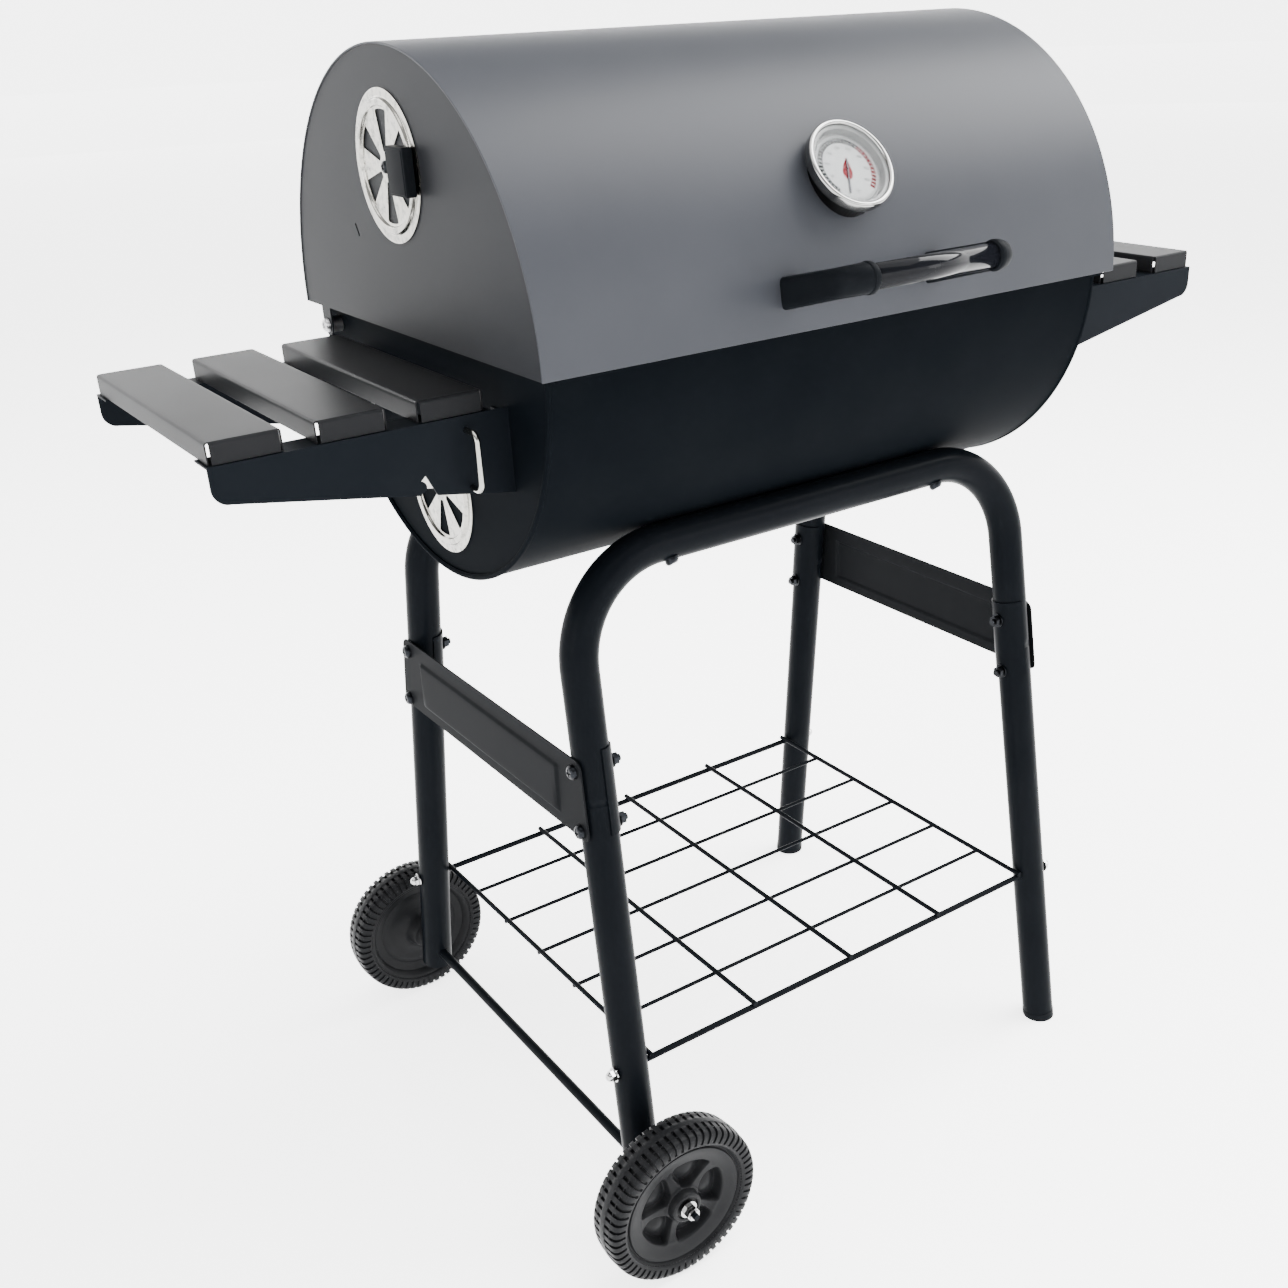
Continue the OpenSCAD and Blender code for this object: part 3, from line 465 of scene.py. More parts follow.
reach = (bar_y + (bar_z - joint_z - v * math.cos(tilt)) * math.tan(lean)) + past_leg
y = u * reach
# Each corner of the grid is pulled in to the corner radius: past the radius's centre, a point on the
# square comes to the circle.
middle, half_tall = (tall_low + tall_high) / 2, (tall_high - tall_low) / 2
over_y = np.clip(np.abs(y) - (reach - corner_r), 0, None) / corner_r
over_z = np.clip(np.abs(v - middle) - (half_tall - corner_r), 0, None) / corner_r
size = np.hypot(over_y, over_z)
shrink = np.where(size > 0, np.maximum(over_y, over_z) / np.maximum(size, 1e-9), 1)
y = np.sign(u) * (np.abs(y) - over_y * corner_r * (1 - shrink))
z = middle + np.sign(v - middle) * (np.abs(v - middle) - over_z * corner_r * (1 - shrink))
rise = raised_by * (1 - smooth(np.abs(y), *raised_y)) * smooth(z, *raised_foot) * (
    1 - smooth(z, *raised_head))


def panel_sides(side):
    """Directions out of an end panel and up it: straight out and up, both turned by the tilt."""
    return (np.array([side * math.cos(tilt), 0, math.sin(tilt)]),
            np.array([-side * math.sin(tilt), 0, math.cos(tilt)]))


for side, name in ((-1, "left"), (1, "right")):
    out, up = panel_sides(side)
    start = np.array([side * leg_x, 0, joint_z])
    points = start + (tube_r + 1.6 + rise)[..., None] * out + y[..., None] * (0, 1, 0) + z[..., None] * up
    piece("pressed_panel_" + name, [grid(points)], panel_coat, "cart",
          ["end_panel_" + name], wall=sheet_wall, edge=0.4)


# ---- shelf slats ----
# Six slats of thin sheet, powder coated and folded down on all four sides. The folds stop short of
# each other, so each corner is open. Each slat is screwed to two brackets.

shelf_coat = powder_coat("shelf_powder_coat", (0.0058, 0.0061, 0.0068), 0.38, 0.035)
fold_r = 2.2
corner_gap = 0.4


def folded_edge(half, top, bottom):
    """Outline from the flat top over a quarter round of fold_r and straight down to the lip's end."""
    fold = arc_points((half - fold_r, top - fold_r), fold_r, 90, 0, 7)
    return np.concatenate([fold, [[half, top - 4], [half, bottom + 0.3]]])


for side in (-1, 1):
    for place in ("outer", "middle", "inner"):
        name = "slat_" + ("left_" if side < 0 else "right_") + place
        low, high = box_mm(name)
        x_mid, half_x = (low[0] + high[0]) / 2, (high[0] - low[0]) / 2
        half_y, top, bottom = high[1], high[2], low[2]
        flat = np.stack([np.linspace(0, half_x - fold_r, 8)[:-1], np.full(7, top)], axis=-1)
        half = np.concatenate([flat, folded_edge(half_x, top, bottom)])
        across = np.concatenate([half[:0:-1] * (-1, 1), half])
        run = np.linspace(-half_y + fold_r, half_y - fold_r, 21)
        long_part = np.stack(np.broadcast_arrays(
            x_mid + across[:, None, 0], run[None, :], across[:, None, 1]), axis=-1)
        parts = [grid(long_part)]
        down = folded_edge(half_y, top, bottom)
        run = np.linspace(-half_x + fold_r + corner_gap, half_x - fold_r - corner_gap, 8)
        for end in (-1, 1):
            parts.append(grid(np.stack(np.broadcast_arrays(
                x_mid + run[:, None], end * down[None, :, 0], down[None, :, 1]), axis=-1)))
        piece(name + "_sheet", parts, shelf_coat, "cart", [name], wall=1.1, edge=0.25)


# ---- shelf brackets ----
# Four webs of sheet with a folded top flange, powder coated and bolted to the barrel's end plates.
# A loop of bright wire for tools hangs on the left front one.

bracket_coat = powder_coat("bracket_powder_coat", (0.0022, 0.0031, 0.0044), 0.44, 0.015)
coat(bracket_coat, "bracket_left_front", "bracket_left_rear", "bracket_right_front", "bracket_right_rear")
loop_steel = metal("loop_steel", (0.3, 0.3, 0.28), 0.16, 0.15)
coat(loop_steel, "tool_loop")


# ---- lid handle ----
# Two elbows of matt black moulded plastic that hold a glossy black tube.

def moulded(name, shade, rough, grain=0.00002, lump=0.0007, scuff=0.15):
    """Moulded plastic. Colour goes from the shade to a paler one with scuffed flecks and a little
    drift, gloss follows drift and the fine texture, and the texture gives the bump."""
    mat, shader, at = new_finish(name, Specular_IOR_Level=0.012)
    drift = at.noise(0.02, 3.0)
    fleck = at.noise(0.0016, 3.0, 0.75).step(0.66, 0.78)
    pale = tuple(min(1, c * 2.2 + 0.01) for c in shade)
    colour = (fleck * scuff + drift * 0.1).mix((*shade, 1), (*pale, 1))
    pebble = at.noise(lump, 2.0, 0.6)
    gloss = drift * 0.12 + pebble * 0.06 + (rough - 0.09)
    feed(shader, Base_Color=colour, Roughness=gloss, Normal=pebble.bump(grain))
    return mat


black_plastic = moulded("handle_plastic", (0.003, 0.0036, 0.0045), 0.42)
coat(black_plastic, "foot_caps")
grip_low, grip_high = box_mm("handle_tube")
grip = np.array([0, (grip_low[1] + grip_high[1]) / 2, (grip_low[2] + grip_high[2]) / 2])
foot = np.array([0, -210.8, seam_z + 30.7])
out = unit(grip - foot)
arm_len = np.linalg.norm(grip - foot)
elbow, arm_x, socket_x = 12.0, 74.0, 60.2
arm_wide, arm_tall, arm_taper, socket_r = 8.5, 12.3, 1.6, 11.3
# The arm runs out from the lid, turns a quarter round and ends at the tube's socket. Its section is a
# superellipse that goes from nearly square at the foot to round at the socket.
corner = np.radians(np.linspace(0, 90, 17))[1:]
along = np.concatenate([np.linspace(-3, arm_len - elbow, 16), arm_len - elbow + elbow * np.sin(corner),
                        [arm_len, arm_len]])
aside = np.concatenate([np.full(16, arm_x), arm_x - elbow + elbow * np.cos(corner), [60.8, socket_x]])
share = smooth(along, arm_len - 34, arm_len - 2)
last = np.zeros(len(along))
last[-1] = 0.5
wide = arm_wide * (1 - share) + socket_r * share - last
tall = (arm_tall - arm_taper * along / arm_len) * (1 - share) + socket_r * share - last
power = 5.0 * (1 - share) + 2.0 * share
angle = np.radians(np.linspace(0, 360, 64, endpoint=False))[None, :]
cosine, sine = np.cos(angle), np.sin(angle)
grow = (np.abs(cosine) ** power[:, None] + np.abs(sine) ** power[:, None]) ** (-1 / power[:, None])
section = np.stack([wide[:, None] * cosine * grow, tall[:, None] * sine * grow], axis=-1)
for side, name in ((-1, "left"), (1, "right")):
    path = foot + along[:, None] * out + (side * aside)[:, None] * (1, 0, 0)
    arm = carried(path, np.cross((1, 0, 0), out), section)
    socket = grip + (side * socket_x, 0, 0)
    lip = turned([(10.8, 0), (9.7, 0), (9.7, 4)], socket, (side, 0, 0), (0, 0, 1), 64)
    collar = turned([(11.0, 1.0), (11.7, 1.3), (12, 2), (12, 5), (11.7, 5.7), (11.0, 6)], socket,
                    (side, 0, 0), (0, 0, 1), 64)
    piece("handle_elbow_" + name, [arm, lip, collar], black_plastic, "lid",
          ["handle_arm_" + name])

tube_gloss, shader, at = new_finish("handle_gloss_black", Specular_IOR_Level=0.09)
wave = at.noise(0.012, 2.0)
feed(shader, Base_Color=at.noise(0.03).mix((0.002, 0.0022, 0.003, 1), (0.004, 0.0045, 0.006, 1)),
     Roughness=wave * 0.06 + 0.06, Normal=wave.bump(0.00008))
tube = turned([(9.5, -70), (9.5, 70)], grip, (1, 0, 0), (0, 0, 1), 64)
piece("handle_grip", [tube], tube_gloss, "lid", ["handle_tube"], wall=1.2)


# ---- thermometer ----
# A drawn steel case with a polished bezel, flat glass, a printed dial and a thin needle. It is screwed
# on a little turned, clockwise as seen from the front.

def joint_place(name, face_x=None):
    """A joint's place in millimetres, moved along the barrel to face_x where that is given."""
    place = np.array(next(j for j in frame["joints"] if j["name"] == name)["pos_m"]) * 1000
    if face_x is not None:
        place[0] = face_x
    return place


gauge_at = joint_place("needle_turn")
gauge_out = -unit(next(j for j in frame["joints"] if j["name"] == "needle_turn")["axis"])
level = unit((1, 0, 0))
lean_up = np.cross(gauge_out, level)
skew = math.radians(20)
gauge_up = lean_up * math.cos(skew) + level * math.sin(skew)
gauge_right = np.cross(gauge_up, gauge_out)
gauge_case = metal("gauge_case_steel", (0.012, 0.012, 0.013), 0.32, 0.2)
coat(gauge_case, "thermometer_case")
polished = metal("gauge_bezel_chrome", (0.27, 0.27, 0.265), 0.1, 0.05)
bezel = np.concatenate([[(33.3, 4.6), (36.4, 4.6)], arc_points((36.6, 6.2), 1.4, -90, 0, 6), [(38, 9)],
                        arc_points((35.9, 12.0), 2.1, 0, 170, 15), [(33.8, 11.2), (33.3, 11.2), (33.3, 4.6)]])
piece("gauge_bezel", [turned(bezel, gauge_at, gauge_out, (1, 0, 0), 144)], polished, "lid",
      ["thermometer_bezel"], crease=50)
well_paint, shader, at = new_finish("gauge_well_white", Specular_IOR_Level=0.25)
feed(shader, Base_Color=at.noise(0.004, 2.0).mix((0.13, 0.135, 0.135, 1), (0.17, 0.175, 0.175, 1)),
     Roughness=at.noise(0.01) * 0.1 + 0.2)
well = turned([(33.85, 11.9), (31.3, 10.4), (30.2, 5.6), (28.8, 5.45)], gauge_at, gauge_out, (1, 0, 0), 96)
piece("gauge_well", [well], well_paint, "lid", wall=0.3)

dial_print, shader, at = new_finish("dial_print", Specular_IOR_Level=0.04)
dial_turn = Matrix((gauge_right, gauge_up, gauge_out)).transposed().to_euler()
flat = at.node("ShaderNodeMapping", {"vector_type": "TEXTURE"},
               {"Vector": at, "Location": Vector(gauge_at * 0.001), "Rotation": dial_turn})
x = flat.node("ShaderNodeSeparateXYZ", {}, {"Vector": flat}, out=0)
y = flat.node("ShaderNodeSeparateXYZ", {}, {"Vector": flat}, out=1)
radius = x.math("SQRT", x * x + y * y) * 1000
clock = x.math("ARCTAN2", x, y) * (180 / math.pi)
# One tick every 8 degrees in a band near the rim, with a thin rule at the band's inner edge. They are
# black up to the hot end and red from there, and ink lies where there is a tick or the rule.
tick = x.math("FRACT", (clock + 360) / 8.0)
block = (tick > 0.14) * (tick < 0.86)
band = (radius > 22.0) * (radius < 26.4)
rule = (radius > 22.3) * (radius < 22.65)
cold = (clock > -157) * (clock < 28)
hot = (clock > 28) * (clock < 121)
ink = 1 - (1 - block * band) * (1 - rule)
paper = at.noise(0.003, 2.0).mix((0.3, 0.31, 0.31, 1), (0.34, 0.35, 0.35, 1))
with_black = (ink * cold).mix(paper, (0.003, 0.003, 0.004, 1))
printed = (ink * hot).mix(with_black, (0.08, 0.0008, 0.0025, 1))
feed(shader, Base_Color=printed, Roughness=at.noise(0.002) * 0.1 + 0.3)
dial_high = 5.4
dial = turned([(far, dial_high) for far in (0.0, 1.2, 15, 24, 31.3)], gauge_at, gauge_out, (1, 0, 0), 128)
piece("gauge_dial_face", [dial], dial_print, "lid", ["thermometer_dial"], wall=0.5)

ink_red, shader, at = new_finish("dial_red_ink", Specular_IOR_Level=0.04, Roughness=0.4)
feed(shader, Base_Color=at.noise(0.002).mix((0.11, 0.0015, 0.004, 1), (0.14, 0.002, 0.006, 1)))
ink_grey, shader, at = new_finish("dial_grey_ink", Specular_IOR_Level=0.04, Roughness=0.45)
feed(shader, Base_Color=at.noise(0.001).mix((0.006, 0.006, 0.007, 1), (0.01, 0.01, 0.011, 1)))


def on_dial(flat_points, height):
    """Places flat points (across, up the dial) at a height above the lid."""
    flat_points = np.asarray(flat_points, float)
    aside, upward = flat_points[..., :1] * gauge_right, flat_points[..., 1:2] * gauge_up
    return gauge_at + aside + upward + height * gauge_out


turn = np.radians(np.linspace(0, 360, 48, endpoint=False))
drop_x = 6.4 * np.sin(turn) * np.sin(turn / 2) ** 1.5
drop_y = 10 * np.cos(turn) + 0.5
ring = np.linspace(0, 1, 5)[:, None]
drop = np.stack([ring * drop_x, ring * drop_y], axis=-1)
ink_high = 5.46
piece("dial_mark", [grid(on_dial(drop, ink_high), wrap_columns=True)], ink_red, "lid")

figures = [(str(50 + 50 * step), -125 + 33.5 * step, 18.2, 3.3) for step in range(8)]
figures.append(("\u00b0C", 158, 20.5, 4.6))
for index, (words, hour, out_r, tall) in enumerate(figures):
    letters = bpy.data.curves.new("figure", "FONT")
    letters.body, letters.size = words, tall
    letters.align_x, letters.align_y = "CENTER", "CENTER"
    maker = bpy.data.objects.new("figure", letters)
    bpy.context.collection.objects.link(maker)
    bpy.context.view_layer.update()
    mesh = bpy.data.meshes.new_from_object(maker.evaluated_get(bpy.context.evaluated_depsgraph_get()))
    bpy.data.objects.remove(maker)
    flat_points = np.zeros(len(mesh.vertices) * 3)
    mesh.vertices.foreach_get("co", flat_points)
    hour = math.radians(hour)
    flat_points = flat_points.reshape(-1, 3)[:, :2] + out_r * np.array([math.sin(hour), math.cos(hour)])
    mesh.vertices.foreach_set("co", (on_dial(flat_points, ink_high) * 0.001).ravel())
    mesh.materials.clear()
    mesh.materials.append(ink_grey)
    made = bpy.data.objects.new("dial_figure_%d" % index, mesh)
    bpy.context.collection.objects.link(made)
    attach(made, "lid")

needle_steel = metal("needle_lacquer", (0.03, 0.03, 0.035), 0.4, 0.1)
coat(needle_steel, "thermometer_needle")
glass, shader, at = new_finish("gauge_glass", IOR=1.45, Alpha=0.025)
feed(shader, Base_Color=at.noise(0.02).mix((0.015, 0.017, 0.018, 1), (0.022, 0.024, 0.025, 1)),
     Roughness=at.noise(0.01) * 0.03 + 0.02)
coat(glass, "thermometer_glass")


# ---- air dampers ----
# Discs pressed from bright stainless sheet: a flat rim, a raised bead and a field with six wedge slots.
# Each turns on a black pan-head screw and has a black moulded block to turn it by.

stainless, shader, at = new_finish("damper_stainless", Metallic=1.0)
cloud = at.noise(0.007, 4.0, 0.6)
fine = at.noise(0.0007, 2.0, 0.7)
blotch = cloud.step(0.45, 0.7)
feed(shader, Base_Color=blotch.mix((0.33, 0.32, 0.295, 1), (0.2, 0.2, 0.185, 1)),
     Roughness=blotch * 0.12 + fine * 0.08 + 0.13, Normal=(cloud * 0.5 + fine * 0.08).bump(0.0002))


def outline_reach(outline, middle, heading):
    """Distance from the middle to a closed outline in each heading, for an outline all in sight of it."""
    seen = outline - middle
    angle = np.arctan2(seen[:, 1], seen[:, 0])
    order = np.argsort(angle)
    angle, far = angle[order], np.hypot(*seen[order].T)
    return np.interp(heading, np.concatenate([angle - 2 * np.pi, angle, angle + 2 * np.pi]), np.tile(far, 3))


def on_circle(radius, angle):
    """Flat points at a radius and at angles in radians."""
    return np.stack([radius * np.cos(angle), radius * np.sin(angle)], axis=-1)


lower_turn = 58
slot_in, slot_out, slot_half = 11.0, 41.3, math.radians(13)
field_in, field_out = 8.4, 42.6
# One sixth of the disc, 30 degrees to either side of its middle, is a sector with one wedge slot.
sweep = np.linspace(-1, 1, 161)
ray_up = np.array([math.cos(np.pi / 6), 0.5])
ray_down = ray_up * (1, -1)
sector = np.concatenate([
    on_circle(field_out, sweep * np.pi / 6), np.linspace(field_out * ray_up, field_in * ray_up, 400)[1:],
    on_circle(field_in, -sweep * np.pi / 6)[1:],
    np.linspace(field_in * ray_down, field_out * ray_down, 400)[1:-1]])
soft = 1.3
corner_out = on_circle(slot_out - soft, slot_half - soft / slot_out)
corner_in = on_circle(slot_in + soft, slot_half * 0.45)
side_turn = math.degrees(slot_half) + 90
round_out = arc_points(corner_out, soft, math.degrees(slot_half) * 0.95, side_turn, 40)
round_in = arc_points(corner_in, soft, side_turn, 180 + 5, 40)
half_slot = np.concatenate([
    on_circle(slot_out, np.linspace(0, slot_half * 0.93, 60)), round_out,
    np.linspace(round_out[-1], round_in[0], 300)[1:-1], round_in])
slot_edge = np.concatenate([half_slot, half_slot[::-1] * (1, -1)])
middle = np.array([29.0, 0.0])
corner_angle = [math.atan2(r * 0.5, r * math.cos(np.pi / 6) - middle[0]) for r in (field_out, field_in)]
half_turn = np.unique(np.concatenate([np.linspace(0, np.pi, 49), corner_angle]).round(9))
heading = np.concatenate([-half_turn[:0:-1], half_turn[:-1]])
inner_edge = outline_reach(slot_edge, middle, heading)
outer_edge = outline_reach(sector, middle, heading)
share = np.linspace(0, 1, 4)[:, None]
ray = np.stack([np.cos(heading), np.sin(heading)], axis=-1)
web = middle + (inner_edge + share * (outer_edge - inner_edge))[..., None] * ray
rim_angle = np.arctan2(web[-1, :, 1], web[-1, :, 0])
rim_far = np.hypot(web[-1, :, 0], web[-1, :, 1])
rim_turn = np.unique(rim_angle[rim_far > field_out - 0.05].round(7))
hub_turn = np.unique(rim_angle[rim_far < field_in + 0.05].round(7))


def disc_height(far):
    """Height of the pressed disc over its back plane, by radius: field low, bead high, rim low."""
    bead = smooth(far, 42.6, 44.6) - smooth(far, 47.8, 50.2)
    return 0.35 + 2.3 * bead - 0.25 * smooth(far, 54.9, 56)


def vent(name, joint, replaced_disc, face_x, start, body):
    """One damper's disc: six copies of the sector, each with its rim outside and its hub inside, turned
    by 60 degrees each. Local x is up, local y is towards the rear, and height is out of the left end."""
    centre = joint_place(joint, face_x)
    parts = []
    for sixth in range(6):
        turn = math.radians(start + 60 * sixth)
        spin = np.array([[math.cos(turn), math.sin(turn)], [-math.sin(turn), math.cos(turn)]])
        rim = np.stack([on_circle(k, rim_turn)
                        for k in lines((field_out, 8), (44.8, 3), (47.6, 8), (50.4, 3), (54.6, 3), (56, 1))])
        hub = np.stack([on_circle(k, hub_turn) for k in (3.05, 5, field_in)])
        for flat in (web, rim, hub):
            flat = flat @ spin
            far = np.hypot(flat[..., 0], flat[..., 1])
            place = centre + np.stack([-(disc_height(far) + 0.9), flat[..., 1], flat[..., 0]], axis=-1)
            parts.append(grid(place, wrap_columns=flat.shape[1] == len(heading)))
    piece(name + "_disc", parts, stainless, body, [replaced_disc],
          crease=50, wall=0.9, edge=0.2)


vent("upper_damper", "upper_damper_turn", "upper_vent_disc", -lid_half, 0, "upper_damper")
vent("lower_damper", "lower_damper_turn", "lower_vent_disc", -tub_half, lower_turn, "lower_damper")


def pillow(low, high, round_r, steps=4):
    """A box with rounded edges: a point on the cube is pulled to the box inside it, then pushed out
    by the edge radius."""
    low, high = np.asarray(low, float), np.asarray(high, float)
    middle, half = (low + high) / 2, (high - low) / 2
    parts = []
    for axis in range(3):
        rows, columns = (axis + 1) % 3, (axis + 2) % 3
        spread = [np.concatenate([np.linspace(-half[k], -half[k] + round_r, steps), [0],
                                  np.linspace(half[k] - round_r, half[k], steps)]) for k in (rows, columns)]
        for end in (-1, 1):
            q = np.zeros((len(spread[0]), len(spread[1]), 3))
            q[..., rows] = spread[0][:, None]
            q[..., columns] = spread[1][None, :]
            q[..., axis] = end * half[axis]
            core = np.clip(q, -(half - round_r), half - round_r)
            push = q - core
            push /= np.linalg.norm(push, axis=-1, keepdims=True)
            parts.append(grid(middle + core + push * round_r))
    return parts


def turned_about(parts, centre, degrees):
    """Turns parts about the X axis through centre, up towards the rear."""
    c, s = math.cos(math.radians(degrees)), math.sin(math.radians(degrees))
    spin = np.array([[1, 0, 0], [0, c, -s], [0, s, c]])
    return [((points - centre) @ spin + centre, quads) for points, quads in parts]


for name, joint, face_x, spin, body, replaced in (
        ("upper_knob", "upper_damper_turn", -lid_half, 0, "upper_damper", "upper_vent_knob"),
        ("lower_knob", "lower_damper_turn", -tub_half, lower_turn, "lower_damper", "lower_vent_knob")):
    centre = joint_place(joint, face_x)
    block = pillow(centre + (-12.4, -55, -17.5), centre + (-4.0, -24, 17.5), 0.9)
    cap = pillow(centre + (-12.9, -53.4, -16), centre + (-8, -25.6, 16), 0.7)
    stem = pillow(centre + (-5, -42, -6), centre + (-1.2, -27, 6), 0.5)
    parts = turned_about(block + cap + stem, centre, spin)
    piece(name, parts, black_plastic, body, [replaced])


# ---- screws ----
# Black pan heads with a cross recess, on the dampers, the leg joints and the barrel.

black_zinc = metal("black_zinc", (0.012, 0.013, 0.015), 0.3, 0.2)
coat(black_zinc, "frame_bolts", "frame_nuts", "barrel_bolts", "upper_vent_screw", "lower_vent_screw")


def pan_head(seat, out, side, width, tall):
    """Domed head with a cross recess: height falls off as a rounded square of the radius, less a
    recess where either distance from the cross's arms is small."""
    out, side = unit(out), unit(side)
    across = np.cross(out, side)
    far = lines((0, 14), (0.62, 3), (0.8, 8), (1.0, 1))[:, None]
    angle = np.radians(np.linspace(0, 360, 72, endpoint=False))[None, :]
    x, y = far * np.cos(angle) * width, far * np.sin(angle) * width
    dome = tall * (1 - far ** 4.5) ** 0.5
    arm = np.minimum(np.abs(x), np.abs(y))
    cut = (1 - smooth(arm, 0.09 * width, 0.16 * width)) * (1 - smooth(far, 0.42, 0.6))
    height = dome - cut * 0.36 * tall
    points = np.asarray(seat) + x[..., None] * side + y[..., None] * across + height[..., None] * out
    return grid(points, wrap_columns=True)


heads = []
for side in (-1, 1):
    out, up = panel_sides(side)
    for end in (-1, 1):
        for z in (470, 416):
            y = bar_y + (bar_z - z) * math.tan(lean)
            seat = np.array([side * leg_x, end * y, joint_z]) + up * (z - joint_z) / math.cos(tilt)
            heads.append(pan_head(seat + out * (tube_r + 1.7), out, (0, 1, 0.3 * side), 6.6, 4.9))
piece("leg_bolt_heads", heads, black_zinc, "cart")
heads = []
for side in (-1, 1):
    for end in (-1, 1):
        toward = unit((0, -side * bar_y, seam_z - bar_z))
        seat = np.array([end * 150, side * bar_y, bar_z]) - toward * (tube_r - 0.2)
        heads.append(pan_head(seat, -toward, (1, 0.4, 0), 6.6, 4.6))
piece("barrel_bolt_heads", heads, black_zinc, "cart")
for name, joint, face_x, body in (("upper_damper_screw", "upper_damper_turn", -lid_half, "lid"),
                                  ("lower_damper_screw", "lower_damper_turn", -tub_half, "cart")):
    head = pan_head(joint_place(joint, face_x) + (-1.3, 0, 0), (-1, 0, 0), (0, 1, 0.6), 4.9, 3.6)
    piece(name, [head], black_zinc, body)
heads = [pan_head(joint_place("lid_hinge", side * (lid_half + 0.3)), (side, 0, 0), (0, 1, 0.5), 6.3, 4.4)
         for side in (-1, 1)]
piece("hinge_screw_heads", heads, zinc, "cart")


# ---- wheels ----
# Moulded black plastic in one piece: a tread of two rows of lugs beside a plain centre band, a dished
# face with five spokes, and a hub.

low, high = box_mm("front_wheel")
wheel_r = (high[2] - low[2]) / 2
rim = wheel_r - 16.6


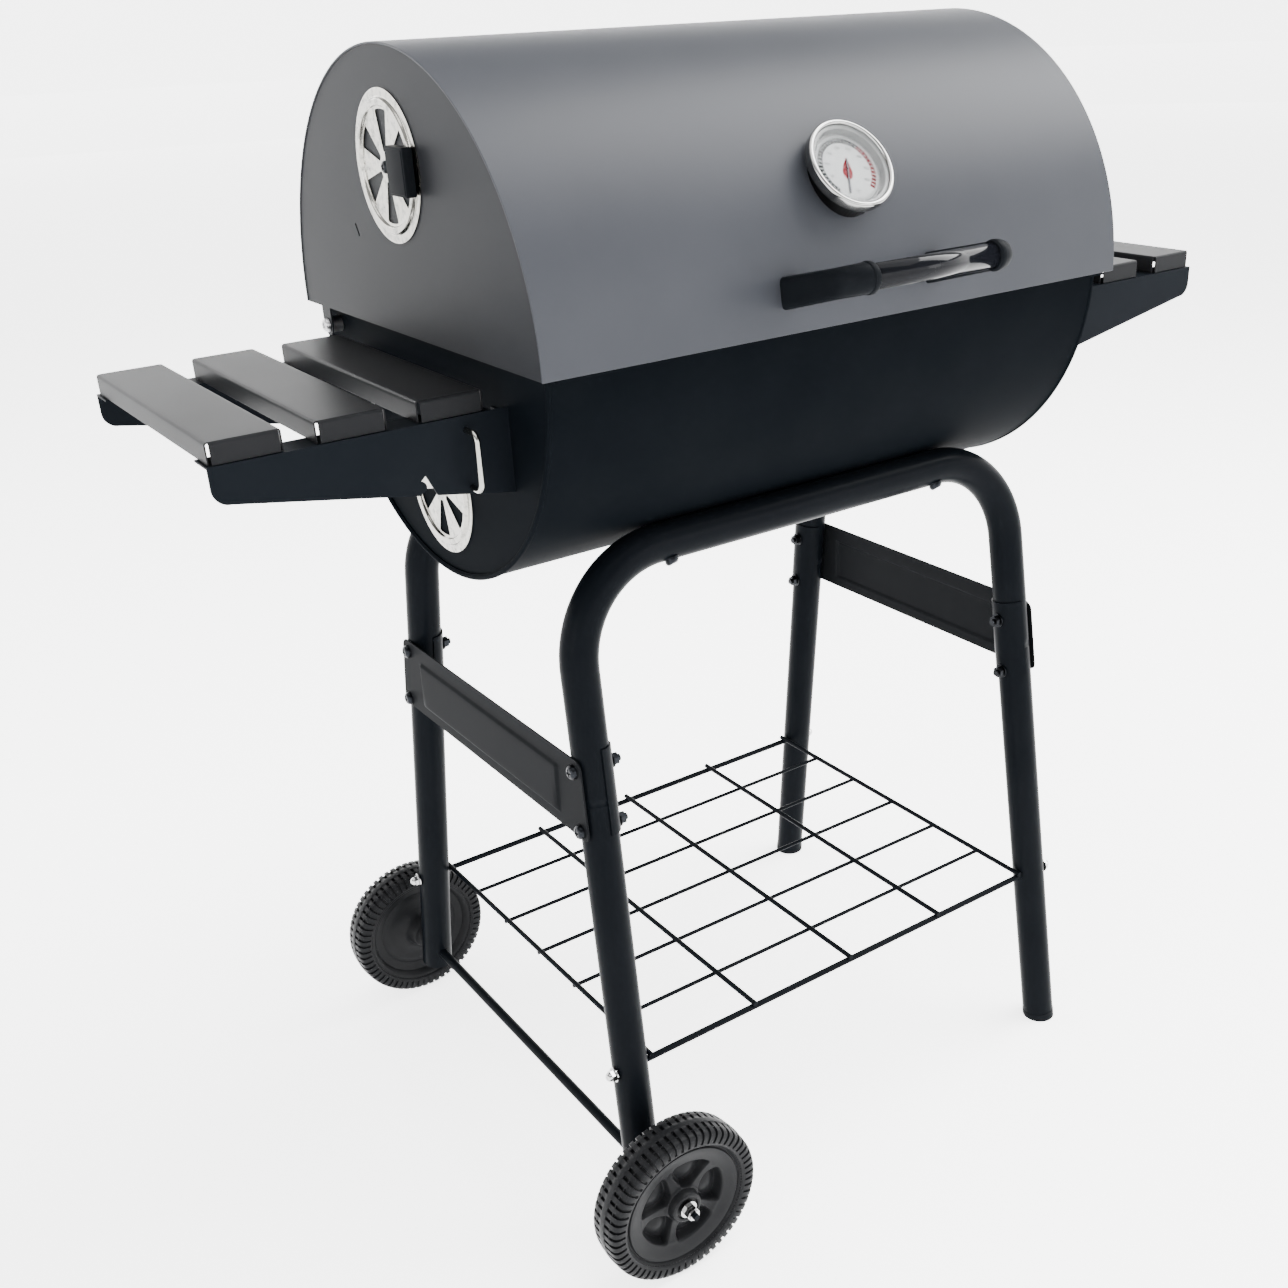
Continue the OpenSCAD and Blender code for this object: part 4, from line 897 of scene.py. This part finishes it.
def wheel_parts():
    """A wheel with its axis along Y, centred on the origin, its outer face towards +Y. The tread is a
    profile (y, radius, depth of the gaps) whose points drop by that depth between the lugs. The lugs of
    its two halves are set half a pitch apart."""
    pitch = 60
    phase = np.array([0, 0.035, 0.365, 0.4, 0.5, 0.535, 0.865, 0.9])
    angle = ((np.arange(pitch)[:, None] + phase) * (2 * np.pi / pitch)).ravel()
    near = np.tile([0, 1, 1, 0, 0, 0, 0, 0], pitch)
    rear = np.tile([0, 0, 0, 0, 0, 1, 1, 0], pitch)
    rows = np.array([(0, 0, 0), (1.2, 0, 0), (3.4, -0.1, 0), (3.8, -0.4, 2.8), (6.5, -0.5, 2.9),
                     (9.4, -0.7, 2.8), (9.8, -0.7, 0.5), (10.8, -0.8, 0.5), (11.2, -0.9, 2.1),
                     (14, -1.3, 2.3), (16.4, -2.3, 2.3), (18.0, -4.1, 2.1), (18.8, -6.5, 1.9),
                     (19.0, -9.5, 1.6), (18.8, -12.7, 1.3), (18.6, -13.4, 0), (18.2, -14.8, 0),
                     (17.2, -16.2, 0), (16.0, -16.6, 0)]) + (0, wheel_r, 0)
    back = rows[:0:-1] * (-1, 1, 1)
    whole = np.concatenate([back, rows])
    mask = np.concatenate([np.tile(rear, (len(back), 1)), np.tile(near, (len(rows), 1))])
    slope = np.gradient(whole[:, :2], axis=0)
    inward = np.stack([-slope[:, 1], slope[:, 0]], axis=-1)
    inward /= np.linalg.norm(inward, axis=1, keepdims=True)
    away = inward[:, 1] + 1e-9 + inward[:, 0] * np.sign(whole[:, 0])
    inward *= -np.sign(away)[:, None]
    depth = (mask * whole[:, 2:])[..., None]
    place = whole[:, None, :2] + depth * inward[:, None]
    tread = np.stack([place[..., 1] * np.cos(angle), place[..., 0], place[..., 1] * np.sin(angle)], axis=-1)

    def face():
        """Dished face by radius and angle: pockets sunk between five spokes that widen at both ends.
        Its height is the spoke's top or the pocket's floor, blended into the plain rim and the hub."""
        far = lines((rim, 1), (rim - 0.6, 2), (rim - 1.8, 1), (rim - 2.6, 2), (rim - 3.8, 6),
                    (46, 3), (44, 22), (34, 14), (20, 10), (16.4, 1))[:, None]
        turn = np.radians(np.linspace(0, 360, 360, endpoint=False))[None, :]
        near_spoke = np.abs((turn / (2 * np.pi / 5)) % 1 - 0.5) * (2 * np.pi / 5)
        aside = far * np.sin(near_spoke)
        wide = 2.6 + 3.4 * ((30.5 - far) / 13.5) ** 2
        spoke_top = 8.5 + 3.5 * ((far - 30) / 14) ** 2
        swell = np.cos(np.clip((far - 30) / 13, -1, 1) * np.pi / 2)
        bowl = 1.0 + 4.2 * swell * np.cos(near_spoke * 2.5 - np.pi / 2) ** 2
        pocket = smooth(aside, wide, wide + 4.0)
        field = spoke_top * (1 - pocket) + bowl * pocket
        plain = (11.5 + 3.6 * smooth(far, 42, rim - 3) - 1.6 * smooth(far, rim - 3.6, rim - 2.6)
                 + 1.6 * smooth(far, rim - 1.8, rim - 0.6) + 0.9 * smooth(far, rim - 0.8, rim))
        outer = smooth(far, 40.5, 45)
        inner = 1 - smooth(far, 16.4, 19.5)
        height = field * (1 - outer - inner) + plain * outer + 12.5 * inner
        return np.stack(np.broadcast_arrays(far * np.cos(turn), height, far * np.sin(turn)), axis=-1)

    bore_r, hub_back = 5.06, -26
    inner = turned([(rim, -16), (rim - 1.5, -15.6), (rim - 4, -14.2), (rim - 7, -9), (46, -6.5),
                    (43, -8.2), (38, -8.6), (34, -7.6), (22, -9.4), (17.5, -14), (15, -24.5),
                    (14, -25.6), (12.8, hub_back), (bore_r, hub_back)], (0, 0, 0), (0, 1, 0), (1, 0, 0), 240)
    hub_out = turned([(16.4, 12.5), (15.6, 15.5), (14.9, 18.8), (14.0, 19.7), (12.4, 20), (11.2, 19.4),
                      (10.8, 17.6), (bore_r, 17.6), (bore_r, hub_back)],
                     (0, 0, 0), (0, 1, 0), (1, 0, 0), 120)
    return [grid(tread, wrap_columns=True), grid(face(), wrap_columns=True), inner, hub_out]


wheel_plastic, shader, at = new_finish("wheel_plastic", Specular_IOR_Level=0.06)
dust = at.noise(0.0011, 3.0, 0.8).step(0.7, 0.78) * at.noise(0.012, 3.0).step(0.42, 0.62)
haze = at.noise(0.02, 4.0)
feed(shader, Base_Color=(dust * 0.5 + haze * 0.04).mix((0.0032, 0.0035, 0.0042, 1), (0.12, 0.118, 0.115, 1)),
     Roughness=haze * 0.15 + dust * 0.3 + 0.34, Normal=at.noise(0.0008, 2.0).bump(0.00003))
for name, joint, side in (("front_wheel", "front_wheel_spin", -1), ("rear_wheel", "rear_wheel_spin", 1)):
    centre = joint_place(joint)
    parts = [(points * (1, side, 1) + centre, quads) for points, quads in wheel_parts()]
    piece(name + "_moulding", parts, wheel_plastic, "wheel_" + ("front" if side < 0 else "rear"),
          [name], crease=40)

low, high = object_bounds()
